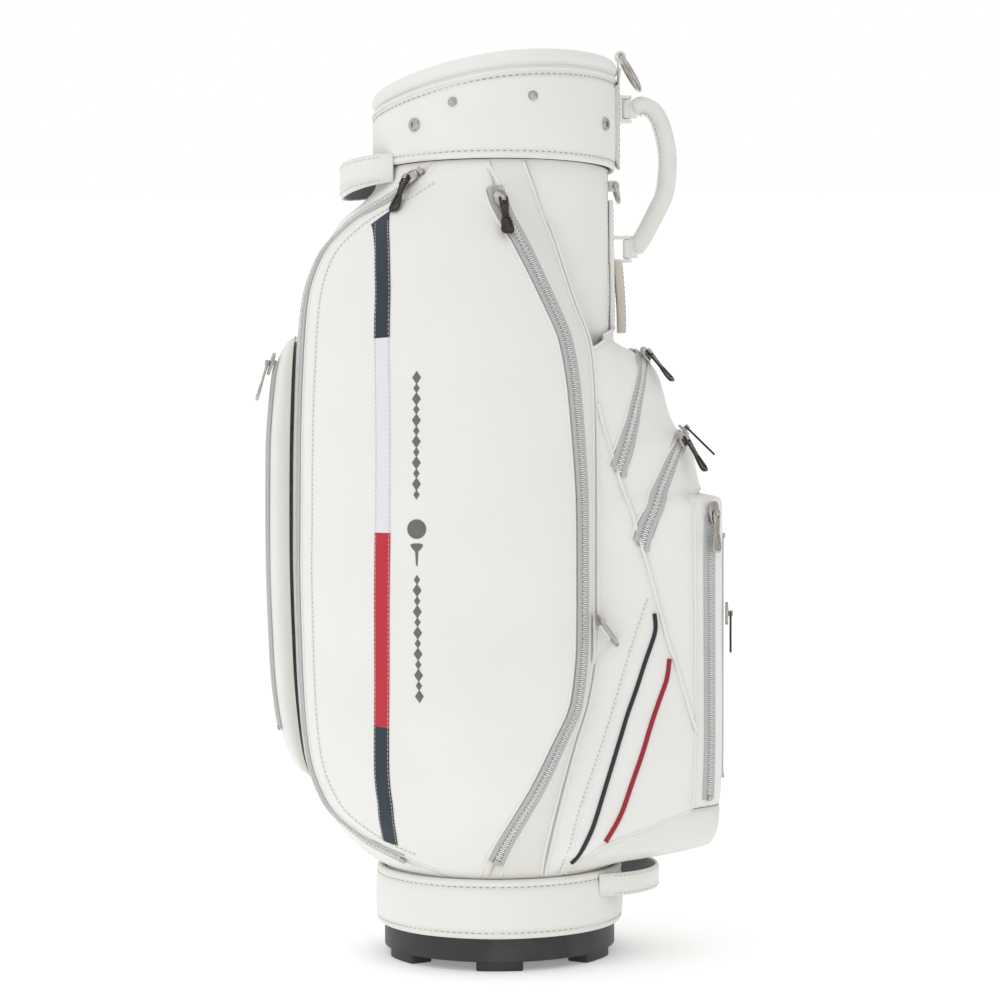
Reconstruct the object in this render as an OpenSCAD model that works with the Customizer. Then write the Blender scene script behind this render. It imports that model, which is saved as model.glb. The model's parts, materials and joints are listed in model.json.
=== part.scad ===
// Golf staff bag: a stiff tube with a moulded base and a padded collar,
// wrapped in full-length leather pockets with zips, handles and rings.
// The origin is the centre of the tube on the floor, +X the ball pocket side,
// -Y the near side and +Z up the tube. Bearings are in degrees from -Y, positive towards +X.

/* [Tube and cover] */
// Outer radius of the covered tube
cover_r = 110; // [104:1:132]
// Thickness of the padded cover on the tube
cover_t = 3.5; // [2:0.5:5]
// Wall of the stiff tube
tube_wall = 2.5; // [1.5:0.5:4]
// Thickness of the pocket panels
panel_t = 3.5; // [2.5:0.5:5]
// Clearance between pieces that lie on each other
gap = 0.3; // [0.2:0.05:0.5]

/* [Base] */
// Height of the feet under the base ring
foot_h = 9; // [5:1:14]
// Number of feet
foot_count = 6; // [3:1:8]
// Width of a foot across its bearing
foot_w = 44; // [30:1:52]
// Depth of a foot from its outer face inwards
foot_d = 22; // [12:1:30]
// Wall of the base moulding
base_wall = 5; // [3:0.5:8]
// Height of the base ring that shows under the cuff
base_band = 22; // [14:1:30]
// Height of the leather cuff
cuff_h = 56; // [40:1:70]
// Thickness of the cuff at its upper edge
cuff_t = 8; // [5:0.5:10]

/* [Collar and mouth] */
// Height from the cuff's upper edge to the collar's lower edge
pocket_run = 671; // [560:1:810]
// Height from the collar's lower edge to the rim at its lowest
collar_h = 73; // [62:1:88]
// How much higher the rim is on the ball pocket side
rim_rise = 33; // [20:1:40]
// How far the rim arches up at its middle
rim_arch = 9; // [4:1:12]
// Thickness of the collar's padded cover
collar_t = 6.8; // [4:0.2:8]
// Height of the rim roll
roll_h = 18.5; // [14:0.5:22]
// Width of the rim roll
roll_w = 17.4; // [14:0.2:20]
// Width of the divider's padded bars
bar_w = 9; // [6:0.5:12]
// Thickness of the divider's full-length walls
sleeve_t = 1.5; // [1:0.5:3]

/* [Pockets] */
// How far the apparel pockets reach out at the spine
spine_reach = 93; // [78:1:112]
// How far the apparel pockets reach out at their front zips
side_reach = 48; // [40:1:58]
// How far the ball pocket reaches out
front_reach = 109; // [92:1:130]
// How far the spine pocket stands out of the spine panel
spine_pocket_d = 22.5; // [19:0.5:27]

/* [Zips] */
// Width of a zip's tape
tape_w = 22; // [18:1:26]
// Thickness of a zip's tape
tape_t = 1; // [0.6:0.1:1.4]
// Width of the colour tape
colour_w = 16; // [12:1:20]
// Width of a zip's teeth
teeth_w = 6; // [5:0.5:8]
// How far the teeth stand out of the tape
teeth_h = 0.9; // [0.6:0.1:1.2]
// Length of a slider
slider_l = 22; // [18:1:26]
// Width of a slider
slider_w = 14; // [12:1:16]
// Length of a puller from its pin to its end
puller_l = 38; // [32:1:46]
// Width of a puller's plate
puller_w = 12.5; // [11:0.5:14]
// Radius of a puller's pin
pin_r = 1; // [0.8:0.1:1.2]
// Radial clearance of a puller's pin in its slider
pin_gap = 0.08; // [0.06:0.01:0.1]

/* [Handles and rings] */
// Thickness of the grab handle
grab_d = 17; // [14:0.5:19]
// Reach of the grab handle beyond its pins
grab_reach = 49; // [42:1:58]
// Distance between the grab handle's ends
grab_span = 136; // [120:1:150]
// Radius of the grab handle's pins
grab_pin_r = 2.5; // [2:0.25:3]
// Radial clearance of the grab handle's pins
grab_pin_gap = 0.06; // [0.04:0.01:0.1]
// Thickness of the loop handles
loop_t = 4.5; // [3:0.5:6]
// Height of the spine loop handle
spine_loop_h = 28; // [24:1:32]
// Reach of the spine loop handle beyond the cover
spine_loop_reach = 41; // [37:1:48]
// Height of the base loop handle
base_loop_h = 22; // [18:1:26]
// Reach of the base loop handle beyond the cover
base_loop_reach = 46; // [42:1:54]
// Radius of the towel ring to the middle of its wire
towel_ring_r = 18.5; // [16:0.5:22]
// Radius of the strap rings to the middle of their wire
strap_ring_r = 16; // [13:1:19]
// Radius of the rings' wire
wire_r = 2.2; // [1.8:0.1:2.6]
// Radial clearance of a ring in its tab
ring_gap = 0.5; // [0.3:0.1:0.8]

/* [Hidden] */

$fn = 96;
leather = "#e9e9e6";
trim = "#dddcd8";
tape_grey = "#b7b8b5";
moulding_black = "#2d2d2d";
nickel = "#8b8580";

// Heights up the bag
floor_t = 4;
cuff_low = foot_h + base_band;
cuff_top = cuff_low + cuff_h;
collar_low = cuff_top + pocket_run;
rim_low = collar_low + collar_h;
tube_r = cover_r - cover_t - gap;
base_in = tube_r + gap;
base_r = cover_r + 2;
hidden_step = 2;
cuff_in = base_r + gap;
frame_in = tube_r + gap;
frame_r = cover_r + 1.2;
collar_r = frame_r + gap + collar_t;
roll_r = collar_r + 1 - roll_w / 2;
divider_drop = 27;
tilt = atan(rim_rise / (2 * collar_r));
far_out = 3 * collar_r;

function rim_top(x) = let (u = x / collar_r)
    rim_low + rim_rise * (1 + u) / 2 + rim_arch * cos(90 * max(-1, min(1, u)));

// A smooth curve through rows of values, each row led by its height share
function row_at(rows, h, i = 0) =
    i >= len(rows) - 2 || h < rows[i + 1][0] ? i : row_at(rows, h, i + 1);
function rise(rows, i, k) =
    (rows[i + 1][k] - rows[i][k]) / (rows[i + 1][0] - rows[i][0]);
function lean(rows, i, k) =
    i == 0 ? rise(rows, 0, k)
    : i == len(rows) - 1 ? rise(rows, i - 1, k)
    : let (a = rise(rows, i - 1, k), b = rise(rows, i, k)) a * b <= 0 ? 0 : 2 * a * b / (a + b);
function through(rows, h, k) =
    let (t = max(rows[0][0], min(rows[len(rows) - 1][0], h)), i = row_at(rows, t))
    let (w = rows[i + 1][0] - rows[i][0], s = (t - rows[i][0]) / w)
    rows[i][k] * (2 * s ^ 3 - 3 * s ^ 2 + 1) + lean(rows, i, k) * w * (s ^ 3 - 2 * s ^ 2 + s)
    + rows[i + 1][k] * (3 * s ^ 2 - 2 * s ^ 3) + lean(rows, i + 1, k) * w * (s ^ 3 - s ^ 2);

// The bag's main lines: height share, bearing, and share of the reach beyond the cover
SPINE = [[0, -90, 0.04], [0.02, -90, 0.26], [0.05, -90, 0.47], [0.08, -90, 0.6], [0.13, -90, 0.73],
    [0.2, -90, 0.84], [0.3, -90, 0.9], [0.5, -90, 0.925], [0.75, -90, 0.88], [0.8, -90, 0.83],
    [0.84, -90, 0.75], [0.87, -90, 0.67], [0.9, -90, 0.56], [0.93, -90, 0.43], [0.955, -90, 0.2],
    [0.975, -90, 0.07], [1, -90, 0.03]];
LEFT_ZIP = [[0, -26, 0.03], [0.02, -42, 0.14], [0.05, -60, 0.4], [0.1, -69, 0.72], [0.17, -71, 0.88],
    [0.31, -69.5, 0.97], [0.45, -68.5, 1], [0.6, -68, 0.99], [0.74, -68, 0.95], [0.81, -69, 0.89],
    [0.87, -70, 0.73], [0.92, -63, 0.45], [0.96, -46, 0.14], [0.98, -38, 0.06], [1, -31, 0.03]];
RIGHT_ZIP = [[0, -5, 0.06], [0.05, 2.5, 0.23], [0.08, 7.5, 0.4], [0.13, 14.5, 0.71],
    [0.19, 21.5, 0.88], [0.25, 28, 0.95], [0.33, 29.7, 1], [0.5, 30, 1], [0.66, 27.5, 1],
    [0.74, 24.5, 0.98], [0.8, 18.5, 0.92], [0.88, 9.5, 0.67], [0.95, 0.5, 0.21], [1, -2, 0.08]];
WELT = [[0, 21, 0.04], [0.05, 23.8, 0.15], [0.11, 26.6, 0.35], [0.19, 30.7, 0.6], [0.25, 35, 0.73],
    [0.32, 37.5, 0.79], [0.5, 38, 0.79], [0.66, 38.5, 0.77], [0.735, 38, 0.69], [0.8, 33, 0.5],
    [0.88, 27.5, 0.23], [0.94, 21.5, 0.08], [1, 14, 0.03]];
// The front pockets: height share, then shares at their near edge, their corner and their middle
FRONT = [[0, 0.02, 0.02, 0.02], [0.02, 0.37, 0.64, 0.64], [0.035, 0.72, 0.9, 0.88],
    [0.06, 0.8, 0.96, 0.945], [0.1, 0.835, 0.98, 0.963], [0.2, 0.86, 0.99, 0.97],
    [0.45, 0.86, 1, 0.98], [0.515, 0.86, 1.01, 0.99], [0.528, 0.8, 0.99, 0.97],
    [0.536, 0.75, 0.825, 0.81], [0.56, 0.715, 0.78, 0.76], [0.6, 0.66, 0.735, 0.725],
    [0.625, 0.55, 0.605, 0.59], [0.65, 0.46, 0.53, 0.52], [0.7, 0.385, 0.45, 0.43],
    [0.73, 0.275, 0.33, 0.31], [0.745, 0.11, 0.13, 0.13], [0.76, 0.01, 0.01, 0.01],
    [1, 0.01, 0.01, 0.01]];
FRONT_EDGE = 67;
FRONT_CORNER = 77;
// Lines that cross the side of the front pockets: height share and bearing
CROSSING = [[0.196, 67], [0.232, 64.6], [0.282, 61.6], [0.331, 58.2], [0.374, 56], [0.416, 53.8],
    [0.471, 50.5], [0.534, 47.3], [0.569, 45.3], [0.624, 42.1], [0.672, 38.5]];
UPPER_LINE = [[0.566, 45.5], [0.61, 50], [0.64, 55], [0.667, 59.2], [0.696, 64.5], [0.72, 71],
    [0.733, 79], [0.738, 90]];
MIDDLE_LINE = [[0.464, 50.8], [0.499, 53.3], [0.52, 55.8], [0.555, 61], [0.59, 66.7], [0.607, 72],
    [0.617, 80], [0.62, 90]];
LOWER_LINE = [[0, 33], [0.023, 36.3], [0.041, 40.3], [0.064, 51.5], [0.088, 66.5]];
TOP_LINE = [[0.735, 38.2], [0.748, 50], [0.762, 68], [0.775, 90]];
TAPE_LINE = [[0.045, -46.6], [0.075, -42.6], [0.115, -39.3], [0.32, -34.6], [0.6, -33.5],
    [0.8, -35.1], [0.87, -39], [0.93, -47.5]];

function height(h) = cuff_top + pocket_run * h;
function at(a, h, r) = [r * sin(a), -r * cos(a), height(h)];
function stations(h) = [
    [-90, spine_reach * through(SPINE, h, 2)],
    [through(LEFT_ZIP, h, 1), spine_reach * through(LEFT_ZIP, h, 2)],
    [through(RIGHT_ZIP, h, 1), side_reach * through(RIGHT_ZIP, h, 2)],
    [through(WELT, h, 1), side_reach * through(WELT, h, 2)],
    [FRONT_EDGE, front_reach * through(FRONT, h, 1)],
    [FRONT_CORNER, front_reach * through(FRONT, h, 2)],
    [90, front_reach * through(FRONT, h, 3)]];
function between(st, a, i = 0) =
    i >= len(st) - 2 || a <= st[i + 1][0]
    ? st[i][1] + (st[i + 1][1] - st[i][1]) * (a - st[i][0]) / (st[i + 1][0] - st[i][0])
    : between(st, a, i + 1);
function fold(a) = a > 90 ? 180 - a : a < -90 ? -180 - a : a;
// A flat facet of a panel sinks this far between two of its columns
facet_sag = cover_r * (1 - cos(7));
least = gap + facet_sag + panel_t;
// The skin's radius at a bearing and a height share
function skin(a, h) = cover_r + max(least, between(stations(h), fold(a)));
function spot(a, h, up = 0) = at(a, h, skin(a, h)) + up * outward(a, h);
function outward(a, h) =
    let (da = 0.5, dh = 0.002)
    let (u = at(a + da, h, skin(a + da, h)) - at(a - da, h, skin(a - da, h)))
    let (v = at(a, h + dh, skin(a, h + dh)) - at(a, h - dh, skin(a, h - dh)))
    unit(cross(u, v));
function unit(v) = v / norm(v);
function step(from, to, count) = [for (i = [0 : count]) from + (to - from) * i / count];
function along(line) = [for (i = [0 : len(line) - 2], s = [0, 0.34, 0.67])
    let (h = line[i][0] + (line[i + 1][0] - line[i][0]) * s) [h, through(line, h, 1)]];

// Faces of a closed block between two grids of rows by cols points
function block_faces(rows, cols) =
    let (n = rows * cols)
    concat(
        [for (i = [0 : rows - 2], j = [0 : cols - 2])
            [i * cols + j, (i + 1) * cols + j, (i + 1) * cols + j + 1]],
        [for (i = [0 : rows - 2], j = [0 : cols - 2])
            [i * cols + j, (i + 1) * cols + j + 1, i * cols + j + 1]],
        [for (i = [0 : rows - 2], j = [0 : cols - 2])
            [n + i * cols + j, n + (i + 1) * cols + j + 1, n + (i + 1) * cols + j]],
        [for (i = [0 : rows - 2], j = [0 : cols - 2])
            [n + i * cols + j, n + i * cols + j + 1, n + (i + 1) * cols + j + 1]],
        [for (j = [0 : cols - 2]) [j, j + 1, n + j + 1, n + j]],
        [for (j = [0 : cols - 2]) let (k = (rows - 1) * cols)
            [k + j + 1, k + j, n + k + j, n + k + j + 1]],
        [for (i = [0 : rows - 2]) [(i + 1) * cols, i * cols, n + i * cols, n + (i + 1) * cols]],
        [for (i = [0 : rows - 2]) let (k = cols - 1)
            [i * cols + k, (i + 1) * cols + k, n + (i + 1) * cols + k, n + i * cols + k]]);

// A panel of leather between two edge lines, each a function from height share to bearing
module panel(left, right, hs, cols = 10, wall = panel_t, radius = function (a, h) skin(a, h)) {
    edge = function (h, j) let (a = left(h), b = right(h), g = gap / cover_r * 57)
        a + g + (b - a - 2 * g) * j / cols;
    outer = [for (h = hs, j = [0 : cols]) let (a = edge(h, j)) at(a, h, radius(a, h))];
    inner = [for (h = hs, j = [0 : cols]) let (a = edge(h, j))
        at(a, h, max(cover_r + least - panel_t, radius(a, h) - wall))];
    polyhedron(concat(outer, inner), block_faces(len(hs), cols + 1), convexity = 8);
}

module both_sides() {
    children();
    mirror([0, 1, 0]) children();
}

// A closed tube of one cross-section carried along a path by frames of [place, across, up]
module swept(frames, section) {
    n = len(section);
    m = len(frames);
    points = [for (f = frames, p = section) f[0] + p[0] * f[1] + p[1] * f[2]];
    sides = [for (i = [0 : m - 2], j = [0 : n - 1]) let (k = (j + 1) % n)
        [i * n + j, i * n + k, (i + 1) * n + k, (i + 1) * n + j]];
    split = [for (q = sides, t = [[q[2], q[1], q[0]], [q[3], q[2], q[0]]]) t];
    polyhedron(points, concat(split, [[for (j = [0 : n - 1]) j]],
        [[for (j = [n - 1 : -1 : 0]) (m - 1) * n + j]]), convexity = 8);
}

// Bearing and height share of a place, and the frame that stands on a face there
function bearing(p) = atan2(p[0], -p[1]);
function share(z) = (z - cuff_top) / pocket_run;
function on_skin(a, h, up) = spot(a, h, up);

// A strip laid on a face along points of [height share, bearing], with a cross-section of
// [sideways, up] whose every point stands on the face below it
module laid(points, section, face = function (a, h, up) on_skin(a, h, up)) {
    last = len(points) - 1;
    n = len(section);
    ends = [for (i = [0 : last]) let (p = points[max(0, i - 1)], q = points[min(last, i + 1)])
        let (c = face(points[i][1], points[i][0], 0), out = face(points[i][1], points[i][0], 1) - c)
        let (side = unit(cross(out, face(q[1], q[0], 0) - face(p[1], p[0], 0)))) [c, side]];
    spots = [for (e = ends, q = section) let (p = e[0] + q[0] * e[1])
        face(bearing(p), share(p[2]), q[1])];
    sides = [for (i = [0 : last - 1], j = [0 : n - 1]) let (k = (j + 1) % n)
        [i * n + j, i * n + k, (i + 1) * n + k, (i + 1) * n + j]];
    split = [for (q = sides, t = [[q[2], q[1], q[0]], [q[3], q[2], q[0]]]) t];
    polyhedron(spots, concat(split, [[for (j = [0 : n - 1]) j]],
        [[for (j = [n - 1 : -1 : 0]) last * n + j]]), convexity = 8);
}

tape_up = 3 * gap;
function tape_section(width) =
    let (w = width / 2, t = teeth_w / 2, top = tape_up + tape_t + teeth_h, low = tape_up)
    [[-w, low], [-t, low], [t, low], [w, low], [w, low + tape_t], [t, low + tape_t], [t, top],
        [-t, top], [-t, low + tape_t], [-w, low + tape_t]];
module zip(points) color(tape_grey) laid(points, tape_section(tape_w));

// Puts a piece at a place with its x axis along one way and its z axis outwards
module placed(place, way, out) {
    z = unit(out);
    x = unit(way - (way * z) * z);
    y = cross(z, x);
    multmatrix([[x[0], y[0], z[0], place[0]], [x[1], y[1], z[1], place[1]],
        [x[2], y[2], z[2], place[2]], [0, 0, 0, 1]]) children();
}

// Zip slider: x is the way it opens, z is outwards. The puller's pin lies along `across`.
teeth_top = tape_up + tape_t + teeth_h;
slider_low = teeth_top + 4 * gap;
slider_t = 2.6;
post_w = 4;
pin_up = slider_low + slider_t + 2.4;
module slider(turn) color(nickel) {
    difference() {
        union() {
            translate([0, 0, slider_low]) linear_extrude(slider_t) intersection() {
                square([slider_l, slider_w], center = true);
                circle(r = slider_l * 0.56);
            }
            rotate([0, 0, turn]) {
                translate([-2.6, -post_w / 2, slider_low + slider_t - 1])
                    cube([5.2, post_w, pin_up - slider_low - slider_t + 1]);
                translate([0, 0, pin_up]) rotate([90, 0, 0])
                    cylinder(r = 2.6, h = post_w, center = true, $fn = 32);
            }
        }
        rotate([0, 0, turn]) translate([0, 0, pin_up]) rotate([90, 0, 0])
            cylinder(r = pin_r + pin_gap, h = post_w + 2, center = true, $fn = 32);
    }
}

// Puller: hangs along +x of its own frame from a pin along y
arm_t = 2;
plate_t = 2;
module puller() color(nickel) translate([0, 0, pin_up]) {
    inside = post_w / 2 + gap;
    neck = 9;
    rotate([90, 0, 0]) cylinder(r = pin_r, h = 2 * (inside + arm_t), center = true, $fn = 32);
    for (s = [-1, 1]) translate([-1.8, s > 0 ? inside : -inside - arm_t, -plate_t / 2])
        cube([neck + 1.8, arm_t, plate_t]);
    translate([neck - 4, -inside - arm_t, -plate_t / 2])
        cube([puller_l * 0.45, 2 * (inside + arm_t), plate_t]);
    translate([puller_l * 0.5, 0, -plate_t / 2]) linear_extrude(plate_t) intersection() {
        translate([0, -puller_w / 2]) square([puller_l * 0.5, puller_w]);
        translate([puller_l * 0.13, 0]) circle(r = puller_l * 0.37);
    }
}

// Where each zip's slider is parked: height share, bearing, then a point further along its zip
PARK = [
    ["near_left", [0.972, -41.5], [0.94, -55.5]],
    ["near_right", [0.935, 2.6], [0.9, 7]],
    ["spine", [0.72, -81], [0.66, -81]],
    ["upper", [0.727, 74.2], [0.7, 65.4]],
    ["middle_a", [0.605, 71.3], [0.58, 65]],
    ["middle_b", [0.6185, 84], [0.617, 79]],
    ["ball", [0.506, 72], [0.4, 72]],
    ["front", [0.36, 84], [0.3, 84]]];
function park(name) = [for (p = PARK) if (p[0] == name) p][0];
function park_spot(p) = p[0] == "spine" ? pocket_spot(p[1][1], p[1][0]) : spot(p[1][1], p[1][0]);
function park_out(p) = p[0] == "spine" ? pocket_outward(p[1][1], p[1][0]) : outward(p[1][1], p[1][0]);
function park_way(p) = p[0] == "spine" ? pocket_spot(p[2][1], p[2][0]) - park_spot(p)
    : spot(p[2][1], p[2][0]) - park_spot(p);
function flat_on(v, n) = unit(v - (v * n) * n);
// The angle from a slider's way to straight down, seen from outside
function hang(p) =
    let (n = park_out(p), x = flat_on(park_way(p), n), d = flat_on([0, 0, -1], n))
    atan2(cross(x, d) * n, x * d);
module slider_at(name) {
    p = park(name);
    placed(park_spot(p), park_way(p), park_out(p)) slider(hang(p));
}
module puller_at(name) {
    p = park(name);
    placed(park_spot(p), [0, 0, -1], park_out(p)) puller();
}

// The spine pocket's own skin
POCKET_EDGE = 14;
POCKET_RUN = [[0.13, 0], [0.145, 0.45], [0.17, 0.68], [0.22, 0.9], [0.3, 0.97], [0.5, 1],
    [0.6, 1], [0.67, 0.9], [0.71, 0.78], [0.735, 0.55], [0.752, 0.3], [0.762, 0]];
pocket_lift = gap + 1;
function pocket_skin(a, h) =
    let (u = min(1, abs(a + 90) / POCKET_EDGE), base = skin(a, h) + pocket_lift + panel_t)
    base + (spine_pocket_d - pocket_lift) * through(POCKET_RUN, h, 1) * (1 - u ^ 4) ^ 0.5;
function pocket_spot(a, h, up = 0) = at(a, h, pocket_skin(a, h)) + up * pocket_outward(a, h);
function pocket_outward(a, h) =
    let (da = 0.5, dh = 0.002)
    let (u = at(a + da, h, pocket_skin(a + da, h)) - at(a - da, h, pocket_skin(a - da, h)))
    let (v = at(a, h + dh, pocket_skin(a, h + dh)) - at(a, h - dh, pocket_skin(a, h - dh)))
    unit(cross(u, v));

module ring(outer, inner, low, high) {
    translate([0, 0, low]) difference() {
        cylinder(r = outer, h = high - low);
        translate([0, 0, -1]) cylinder(r = inner, h = high - low + 2);
    }
}

// Everything above the rim's line, lowered by drop
module above_rim(drop) {
    line = [for (x = step(-far_out, far_out, 60)) [x, rim_top(x) - drop]];
    rotate([90, 0, 0]) linear_extrude(2 * far_out, center = true)
        polygon(concat(line, [[far_out, 2 * rim_low], [-far_out, 2 * rim_low]]));
}

// Base
base_top = cuff_low + cuff_h * 0.6;
module base_moulding() color(moulding_black) {
    ring(base_r, base_in, foot_h, cuff_low);
    ring(base_r - hidden_step, base_in, cuff_low - 1, base_top);
    translate([0, 0, foot_h]) cylinder(r = base_r - base_wall / 2, h = floor_t);
}
module foot_pads() color(moulding_black) for (i = [0 : foot_count - 1])
    rotate([0, 0, -90 + 360 / foot_count * i]) intersection() {
        ring(base_r - 1.5, base_r - 1.5 - foot_d, 0, foot_h);
        translate([0, -foot_w / 2, 0]) cube([2 * cover_r, foot_w, foot_h]);
    }
cuff_out = cuff_in + cuff_t + 0.5;
module base_cuff() color(leather) {
    low = cuff_low + gap;
    rotate_extrude() polygon([[cuff_in, low], [cuff_out - 0.5 - cuff_t * 0.4, low],
        [cuff_out - 0.5, cuff_low + cuff_h * 0.45], [cuff_out, cuff_top - 4],
        [cuff_out - 1.5, cuff_top], [cuff_in, cuff_top]]);
}

// Tube, cover and dividers
module body_tube() color(moulding_black)
    ring(tube_r, tube_r - tube_wall, foot_h + floor_t, rim_low - roll_h - gap);
module body_cover() color(leather)
    ring(cover_r, tube_r + gap, base_top + gap, collar_low - gap);
divider_r = tube_r - tube_wall - gap;
bars_x = divider_r * 0.34;
module divider_top() color("#3a3a3a") intersection() {
    rise_to = rim_low + rim_rise / 2 + rim_arch - roll_h;
    cylinder(r = divider_r, h = 3 * rim_low);
    translate([0, 0, rise_to - divider_drop]) rotate([0, -tilt, 0]) difference() {
        translate([0, 0, -6]) cylinder(r = 2 * divider_r, h = 12);
        difference() {
            translate([0, 0, -20]) cylinder(r = divider_r - 4, h = 40);
            for (x = [-bars_x, bars_x]) translate([x - bar_w / 2, -divider_r, -20])
                cube([bar_w, 2 * divider_r, 40]);
            translate([-divider_r, -bar_w / 2, -20]) cube([2 * divider_r, bar_w, 40]);
        }
    }
}
module divider_sleeves() color("#55565a") {
    low = foot_h + floor_t + gap;
    difference() {
        intersection() {
            cylinder(r = divider_r, h = 2 * rim_low);
            translate([0, 0, low]) union() {
                for (x = [-bars_x, bars_x]) translate([x - sleeve_t / 2, -divider_r, 0])
                    cube([sleeve_t, 2 * divider_r, rim_low]);
                translate([-divider_r, -sleeve_t / 2, 0]) cube([2 * divider_r, sleeve_t, rim_low]);
            }
        }
        translate([0, 0, rim_low + rim_rise / 2 + rim_arch - roll_h - divider_drop])
            rotate([0, -tilt, 0]) translate([-far_out, -far_out, -6 - gap])
                cube([2 * far_out, 2 * far_out, rim_low]);
    }
}

// Collar
module collar_frame() color(moulding_black) difference() {
    ring(frame_r, frame_in, collar_low, rim_low + rim_rise + rim_arch);
    above_rim(roll_h + gap);
}
module collar_cover() color(leather) difference() {
    ring(collar_r, frame_r + gap, collar_low, rim_low + rim_rise + rim_arch);
    above_rim(roll_h + gap);
}
module rim_roll() color(leather) {
    frames = [for (i = [0 : 71]) let (t = 5 * i)
        [[roll_r * sin(t), -roll_r * cos(t), rim_top(roll_r * sin(t)) - roll_h / 2],
         [sin(t), -cos(t), 0], [0, 0, 1]]];
    section = [for (t = [0 : 30 : 330]) [roll_w / 2 * cos(t), roll_h / 2 * sin(t)]];
    n = len(section);
    m = len(frames);
    points = [for (f = frames, p = section) f[0] + p[0] * f[1] + p[1] * f[2]];
    polyhedron(points, [for (i = [0 : m - 1], j = [0 : n - 1])
        let (a = i * n + j, b = i * n + (j + 1) % n, up = (i + 1) % m * n)
        for (t = [[a, b, up + (j + 1) % n], [a, up + (j + 1) % n, up + j]]) t], convexity = 6);
}
stud_low = 34;
STUDS = [[-39.2, 0, 0], [-19.1, 18.5, 1], [17.6, 23.5, 1], [62.7, 5, 0]];
module snap_studs() color(nickel) both_sides() for (s = STUDS)
    rotate([0, 0, s[0] - 90]) translate([collar_r + gap, 0, collar_low + stud_low + s[1]])
        rotate([0, 90, 0]) {
            cylinder(r = 6, h = 1.2, $fn = 48);
            cylinder(r = s[2] > 0 ? 4.2 : 3.2, h = s[2] > 0 ? 4.5 : 3.2, $fn = 48);
        }

// Apparel pockets
LOW = gap / pocket_run;
FULL = concat([LOW, 0.012, 0.025, 0.04, 0.06, 0.08, 0.1, 0.13, 0.17, 0.22],
    [for (h = [0.3 : 0.1 : 0.6]) h],
    [0.68, 0.74, 0.79, 0.83, 0.86, 0.885, 0.91, 0.935, 0.96, 0.98, 1 - 2 * LOW]);
left_zip = function (h) through(LEFT_ZIP, h, 1);
right_zip = function (h) through(RIGHT_ZIP, h, 1);
welt = function (h) through(WELT, h, 1);
crossing = function (h) through(CROSSING, h, 1);
upper_line = function (h) through(UPPER_LINE, h, 1);
middle_line = function (h) through(MIDDLE_LINE, h, 1);
lower_line = function (h) through(LOWER_LINE, h, 1);
top_line = function (h) through(TOP_LINE, h, 1);
module apparel_panel() color(leather) panel(left_zip, right_zip, FULL, 12);
module apparel_panel_near() apparel_panel();
module apparel_panel_far() mirror([0, 1, 0]) apparel_panel();
module pocket_gussets() color(trim) both_sides() panel(right_zip, welt, FULL, 3);
module spine_panel() color(leather)
    panel(function (h) -180 - left_zip(h), left_zip, FULL, 10);
module spine_pocket() color(leather) panel(function (h) -90 - POCKET_EDGE,
    function (h) -90 + POCKET_EDGE,
    [0.131, 0.137, 0.145, 0.157, 0.17, 0.195, 0.22, 0.3, 0.4, 0.5, 0.6, 0.67, 0.71, 0.735,
        0.752, 0.761], 12, panel_t, function (a, h) pocket_skin(a, h));

// Side and front pockets
BASE_ROWS = [LOW, 0.01, 0.02, 0.03, 0.037, 0.047, 0.06, 0.075, 0.0875];
SIDE = concat(BASE_ROWS, [0.0885, 0.12, 0.16, 0.196, 0.25, 0.3, 0.36, 0.42, 0.48, 0.55, 0.61, 0.665]);
MIDDLE_ROWS = [0.466, 0.49, 0.51, 0.53, 0.5365, 0.5375, 0.55, 0.566, 0.59, 0.605, 0.615, 0.618];
step_at = 0.537;
module side_panel() color(leather) panel(welt,
    function (h) h < 0.088 ? lower_line(h) : h < 0.196 ? FRONT_EDGE : crossing(h), SIDE, 8);
module side_panel_near() side_panel();
module side_panel_far() mirror([0, 1, 0]) side_panel();
module upper_gusset() color(leather) both_sides() panel(
    function (h) h < 0.672 ? crossing(h) : h < 0.735 ? welt(h) : top_line(h),
    function (h) h < 0.738 ? upper_line(h) : 90,
    [0.568, 0.6, 0.63, 0.655, 0.672, 0.69, 0.71, 0.72, 0.728, 0.733, 0.738, 0.745, 0.755, 0.765,
        0.773], 8);
module upper_pocket() color(leather) both_sides() panel(
    function (h) h < 0.566 ? crossing(h) : upper_line(h),
    function (h) h < 0.62 ? middle_line(h) : 90,
    concat(MIDDLE_ROWS, [0.62, 0.63, 0.65, 0.675, 0.7, 0.715, 0.725, 0.731, 0.736]), 8);
module middle_pocket() color(leather) both_sides() panel(
    function (h) h < 0.464 ? crossing(h) : middle_line(h),
    function (h) h < step_at ? FRONT_EDGE : 90,
    concat([0.2, 0.25, 0.3, 0.36, 0.42], MIDDLE_ROWS), 8);
module ball_pocket() color(leather) panel(function (h) FRONT_EDGE,
    function (h) 180 - FRONT_EDGE,
    [0.0885, 0.12, 0.2, 0.3, 0.4, 0.48, 0.515, 0.524, 0.53, 0.536], 12);
module base_panel() color(trim) panel(lower_line, function (h) 180 - lower_line(h),
    BASE_ROWS, 14, 2.5 * panel_t);
module colour_tape() color("#c7444f") {
    w = colour_w / 2;
    laid([for (h = rows_between(0.05, 0.915)) [h, through(TAPE_LINE, h, 1)]], [[-w, tape_up], [0, tape_up], [w, tape_up], [w, tape_up + tape_t],
        [0, tape_up + tape_t], [-w, tape_up + tape_t]]);
}

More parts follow.
